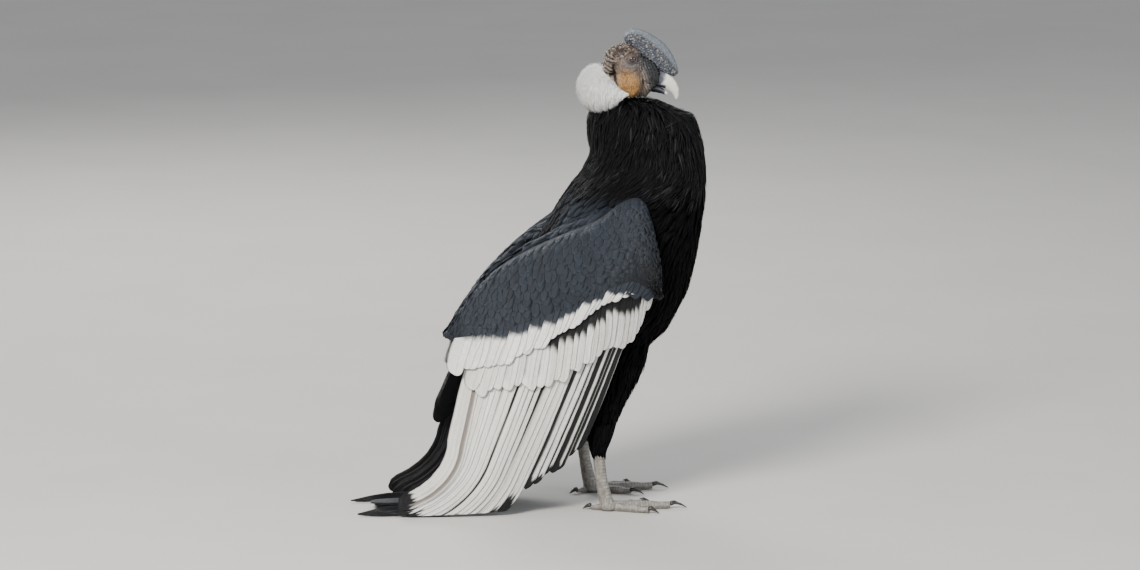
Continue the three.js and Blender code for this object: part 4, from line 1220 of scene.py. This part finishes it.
class BodyFeathers(bpy.types.Operator):
    """Lays the contour feathers on the neck, breast, back and thighs, and the mantle with its scapulars"""
    bl_idname = "condor.body_feathers"
    bl_label = "Body feathers"

    def execute(self, context):
        settings = context.scene.condor_coat
        skin, gap = bpy.data.objects["body_skin"], settings.feather_gap
        black, slate = np.array(settings.black), np.array(settings.slate)
        soft = feather_material("black_feather", 0.75, 0.05, 260.0, 0.0, 1.25)
        sleek = feather_material("neck_feather", 0.5, 0.14, 260.0, 0.0, 1.25)
        dusk = feather_material("mantle_feather", 0.55, 0.14, 200.0, 0.03, 1.15, 0.2)

        def plain(places, rng):
            return black * rng.uniform(0.6, 1.3, (len(places), 1))

        def stringy(places, rng):
            # Some neck feathers are painted grey along their length: painted sheen, where light catches the
            # neck's stringy feathers.
            grey = (rng.uniform(0, 1, len(places)) > 0.86) * rng.uniform(0.1, 0.8, len(places))
            return mix(black * rng.uniform(0.6, 1.5, (len(places), 1)), NECK_SHEEN_GREY, grey)

        def dusky(places, rng):
            s, w = lean_place(places)[0], back_share(places)
            above = step_up(s, -40, 40) * step_up(places[:, 2], 330, 400)
            blue = mix(black, slate, above) * rng.uniform(0.75, 1.2, (len(places), 1))
            # Painted shade: the feathers darken along the back's middle hollow and near the wings' upper
            # edges, where shade falls between the wings.
            furrow = np.maximum(1 - step_up(w, 0.2, 0.42), step_up(w, 0.75, 0.9)) * step_up(s, 0, 50)
            return blue * (1 - 0.95 * furrow)[:, None]

        def is_neck(p, n):
            return p[:, 2] > NECK_Z

        def is_thigh(p, n):
            return (p[:, 2] <= THIGH_Z) & (np.abs(p[:, 1]) > THIGH_Y)

        def is_back(p, n):
            return ~is_neck(p, n) & (p[:, 2] > THIGH_Z) & (n[:, 0] < -0.05) & ~under_wing(p)

        def is_front(p, n):
            ahead = (n[:, 0] >= -0.05) | (p[:, 2] < THIGH_Z)
            beside = (np.abs(p[:, 1]) > THIGH_Y) & (p[:, 2] < THIGH_Z)
            return ~is_neck(p, n) & ahead & ~under_wing(p) & ~beside

        def is_scapular(p, n):
            outer = n[:, 2] * math.sin(LEAN) > n[:, 0] * math.cos(LEAN)
            share = back_share(p)
            # No scapulars close to the wings' upper edges, so the darker mantle sheet shows there as painted
            # shade.
            return outer & (share < 0.88) & ((lean_place(p)[0] > 25) | (share < 0.55))

        def lay(under, name, region, spacing, length, half, outline, lift, tint, seed, material):
            coat = lay_coat(name, *under, region, gap * spacing, length, half, outline, lift, tint, seed)
            settle(coat, "plumage", material)

        body = skin, tree_of(skin)
        lay(body, "neck_feathers", is_neck, 0.72, 60, 2.5, HACKLE, COAT_DEPTH, stringy, 100, sleek)
        lay(body, "breast_feathers", is_front, 1.0, 46, 5.6, HACKLE, COAT_DEPTH - 1, plain, 101, soft)
        lay(body, "back_feathers", is_back, 1.3, 52, 9, CONTOUR, COAT_DEPTH - 1, dusky, 102, dusk)
        lay(body, "thigh_feathers", is_thigh, 0.9, 38, 4.2, HACKLE, COAT_DEPTH - 1, plain, 103, soft)
        for word, side in SIDES.items():
            settle(garter_object(f"garter_{word}", side, black), "plumage", soft)
        outer = lambda u, v: mantle_places(u, v, MANTLE_SINK)
        inner = lambda u, v: mantle_places(u, v, MANTLE_SINK + MANTLE_THICK)
        mantle = closed_sheet("mantle_skin", outer, inner, 36, 24, False)
        settle(mantle[0], "plumage", skin_material("mantle_skin", 0.8, 300.0, 0.0005))
        lay(mantle, "scapulars", is_scapular, 1.3, 50, 9, CONTOUR, 6, dusky, 120, dusk)
        return {"FINISHED"}


class Wings(bpy.types.Operator):
    """Builds both folded wings: pad, small and white coverts, secondaries, primaries and tertials"""
    bl_idname = "condor.wings"
    bl_label = "Wings"

    def execute(self, context):
        dark = feather_material("slate_feather", 0.5, 0.28, 200.0, 0.08, 1.1, 0.16)
        pale = feather_material("white_feather", 0.6, 0.3, 1100.0, 0.0, 0.75, 0.26)
        flight = feather_material("flight_feather", 0.4, 0.35, 1100.0, 0.05, 2.2)
        under = skin_material("wing_skin", 0.8, 300.0, 0.0005)
        for word, side in SIDES.items():
            outer = lambda u, v: pad_places(u, v, side, PAD_SINK)
            inner = lambda u, v: pad_places(u, v, side, PAD_SINK + PAD_THICK)
            pad, tree = closed_sheet(f"wing_pad_{word}", outer, inner, 48, 16, side > 0)
            settle(pad, "wing", under, f"wing_{word}")
            settle(small_coverts(f"small_coverts_{word}", side, tree), "wing", dark)
            for name, row, tint, material in (
                ("median_coverts", MEDIAN_COVERTS, median_tint, pale),
                ("greater_coverts", GREATER_COVERTS, greater_tint, pale),
                ("secondaries", SECONDARIES, secondary_tint, pale),
                ("primaries", PRIMARIES, primary_tint, flight),
            ):
                settle(row_object(f"{name}_{word}", side, row, tint), "wing", material)
        settle(row_object("tertials_left", 1, TERTIALS, primary_tint), "wing", flight)
        return {"FINISHED"}


class Tail(bpy.types.Operator):
    """Builds the twelve tail feathers"""
    bl_idname = "condor.tail"
    bl_label = "Tail"

    def execute(self, context):
        horny = feather_material("tail_feather", 0.42, 0.35, 900.0, 0.05, 2.2)
        settle(tail_object(), "plumage", horny, "tail")
        return {"FINISHED"}


class Ruff(bpy.types.Operator):
    """Builds the white collar of down"""
    bl_idname = "condor.ruff"
    bl_label = "Ruff"

    def execute(self, context):
        down = skin_material("white_down", 0.95, 500.0, 0.0003, 0.1, contrast=0.04)
        settle(ruff_core_object(), "down", down, "ruff")
        for name, reach, width, bend, seed in (
            ("ruff_underdown", (0.7, 0.92), (1.6, 2.8), 0.9, 71),
            ("ruff_down", (0.8, 1.0), (0.8, 1.5), 1.0, 72),
            ("ruff_wisps", (0.88, 1.1), (0.3, 0.6), 0.85, 73),
        ):
            settle(ruff_down_object(name, reach, width, bend, seed), "down", down)
        return {"FINISHED"}


class Head(bpy.types.Operator):
    """Builds the bare head, the comb, the bill, the eyes and their lids"""
    bl_idname = "condor.head"
    bl_label = "Head"

    def execute(self, context):
        settings = context.scene.condor_head
        bare = skin_material("bare_skin", 0.52, 900.0, 0.0002)
        flesh = skin_material("comb_flesh", 0.5, 1200.0, 0.00015)
        horn = skin_material("ivory_horn", 0.28, 500.0, 0.0001, 0.5, 0.2, 0.06)
        wet = skin_material("wet_eye", 0.06, 800.0, 0.00001, 0.6, 1.0, 0.1)
        for name, solid, voxel, smooth, relief, slot, material in (
            ("head_skin", "head", settings.skin_voxel, 5, head_relief, "skin", bare),
            ("comb_flesh", "comb", settings.comb_voxel, 10, comb_relief, "comb", flesh),
            ("bill_upper_horn", "bill_upper", BILL_VOXEL, 14, bill_relief, "ivory", horn),
            ("bill_lower_horn", "bill_lower", BILL_VOXEL, 14, bill_relief, "ivory", horn),
        ):
            settle(relieve(sculpt(name, [solid], voxel, smooth), relief), slot, material, solid)
        for word, side in SIDES.items():
            settle(eye_object(f"eyeball_{word}", side), "eye", wet, f"eye_{word}")
            settle(lids_object(f"eyelids_{word}", side), "skin", bare)
        return {"FINISHED"}


class Legs(bpy.types.Operator):
    """Builds the scaled shanks and feet, and the claws"""
    bl_idname = "condor.legs"
    bl_label = "Legs"

    def execute(self, context):
        scales = skin_material("scaled_leg", 0.6, 900.0, 0.0002)
        horn = skin_material("dark_claw", 0.35, 600.0, 0.0001, 0.5, 0.0, 0.15)
        for word, side in SIDES.items():
            nodes = (f"shank_{word}", f"foot_{word}")
            leg = relieve(sculpt(f"leg_{word}", nodes, LEG_VOXEL, 14), leg_relief(side))
            settle(leg, "leg", scales, *nodes)
            claws = tuple(f"claw_{toe}_{word}" for toe in TOES)
            clawed = relieve(sculpt(f"claws_{word}", claws, CLAW_VOXEL, 6), claw_relief(side))
            settle(clawed, "horn", horn, *claws)
        return {"FINISHED"}


# How far the camera's aim lies from the bird's origin, in metres, and where the lamps point
VIEW_RIGHT, VIEW_UP = -0.0564, 0.406
LAMP_AIM = Vector((0, 0, 0.45))
LAMPS = {
    "key": ((-2.6, -3.6, 3.4), 1.6, 470, (1.0, 0.97, 0.92)),
    "fill": ((3.2, -2.4, 1.8), 2.6, 60, (0.9, 0.95, 1.0)),
    "rim": ((-0.6, 3.6, 2.8), 2.0, 110, (1.0, 1.0, 1.0)),
}


class Stage(bpy.types.Operator):
    """Sets the floor, the lights and the camera"""
    bl_idname = "condor.stage"
    bl_label = "Stage"

    def execute(self, context):
        settings = context.scene.condor_stage
        bm = bmesh.new()
        bmesh.ops.create_grid(bm, x_segments=8, y_segments=8, size=40)
        floor = from_bmesh("studio_floor", bm)
        floor.data.materials.append(floor_material())
        world = bpy.data.worlds.new("studio")
        world.use_nodes = True
        world.node_tree.nodes["Background"].inputs[0].default_value = (0.78, 0.82, 0.88, 1)
        world.node_tree.nodes["Background"].inputs[1].default_value = 0.55
        context.scene.world = world
        for name, (place, size, power, tone) in LAMPS.items():
            light = bpy.data.lights.new(name, "AREA")
            light.size, light.energy, light.color = size, power, tone
            self.hold(light, Vector(place), LAMP_AIM - Vector(place))
        a, e = settings.azimuth, settings.elevation
        back = Vector((math.sin(a) * math.cos(e), -math.cos(a) * math.cos(e), math.sin(e)))
        right = Vector((math.cos(a), math.sin(a), 0))
        aim = Vector(SHIFT) + right * VIEW_RIGHT + right.cross(-back) * VIEW_UP
        camera = bpy.data.cameras.new("camera")
        camera.sensor_width = 36
        camera.lens = camera.sensor_width * settings.distance / settings.view_width
        context.scene.camera = self.hold(camera, aim + back * settings.distance, -back)
        return {"FINISHED"}

    def hold(self, data, place, towards):
        """A lamp or camera at a place, turned to look along a direction."""
        holder = bpy.data.objects.new(data.name, data)
        holder.location = place
        holder.rotation_euler = towards.to_track_quat("-Z", "Y").to_euler()
        bpy.context.scene.collection.objects.link(holder)
        return holder


class CondorPanel(bpy.types.Panel):
    """Lists the condor's pieces"""
    bl_idname = "VIEW3D_PT_condor"
    bl_label = "Condor"
    bl_space_type = "VIEW_3D"
    bl_region_type = "UI"
    bl_category = "Condor"

    def draw(self, context):
        for operator in OPERATORS:
            self.layout.operator(operator.bl_idname)


OPERATORS = (Stage, BodySkin, BodyFeathers, Wings, Tail, Ruff, Head, Legs)
GROUPS = {"condor_coat": CondorCoat, "condor_head": CondorHead, "condor_stage": CondorStage}


def register():
    for kind in (*GROUPS.values(), *OPERATORS, CondorPanel):
        bpy.utils.register_class(kind)
    for name, kind in GROUPS.items():
        setattr(bpy.types.Scene, name, bpy.props.PointerProperty(type=kind))


def unregister():
    for name in GROUPS:
        delattr(bpy.types.Scene, name)
    for kind in reversed((*GROUPS.values(), *OPERATORS, CondorPanel)):
        bpy.utils.unregister_class(kind)


def main():
    register()
    bpy.ops.condor.stage()
    bpy.ops.condor.body_skin()
    bpy.ops.condor.body_feathers()
    bpy.ops.condor.wings()
    bpy.ops.condor.tail()
    bpy.ops.condor.ruff()
    bpy.ops.condor.head()
    bpy.ops.condor.legs()


if __name__ == "__main__":
    main()
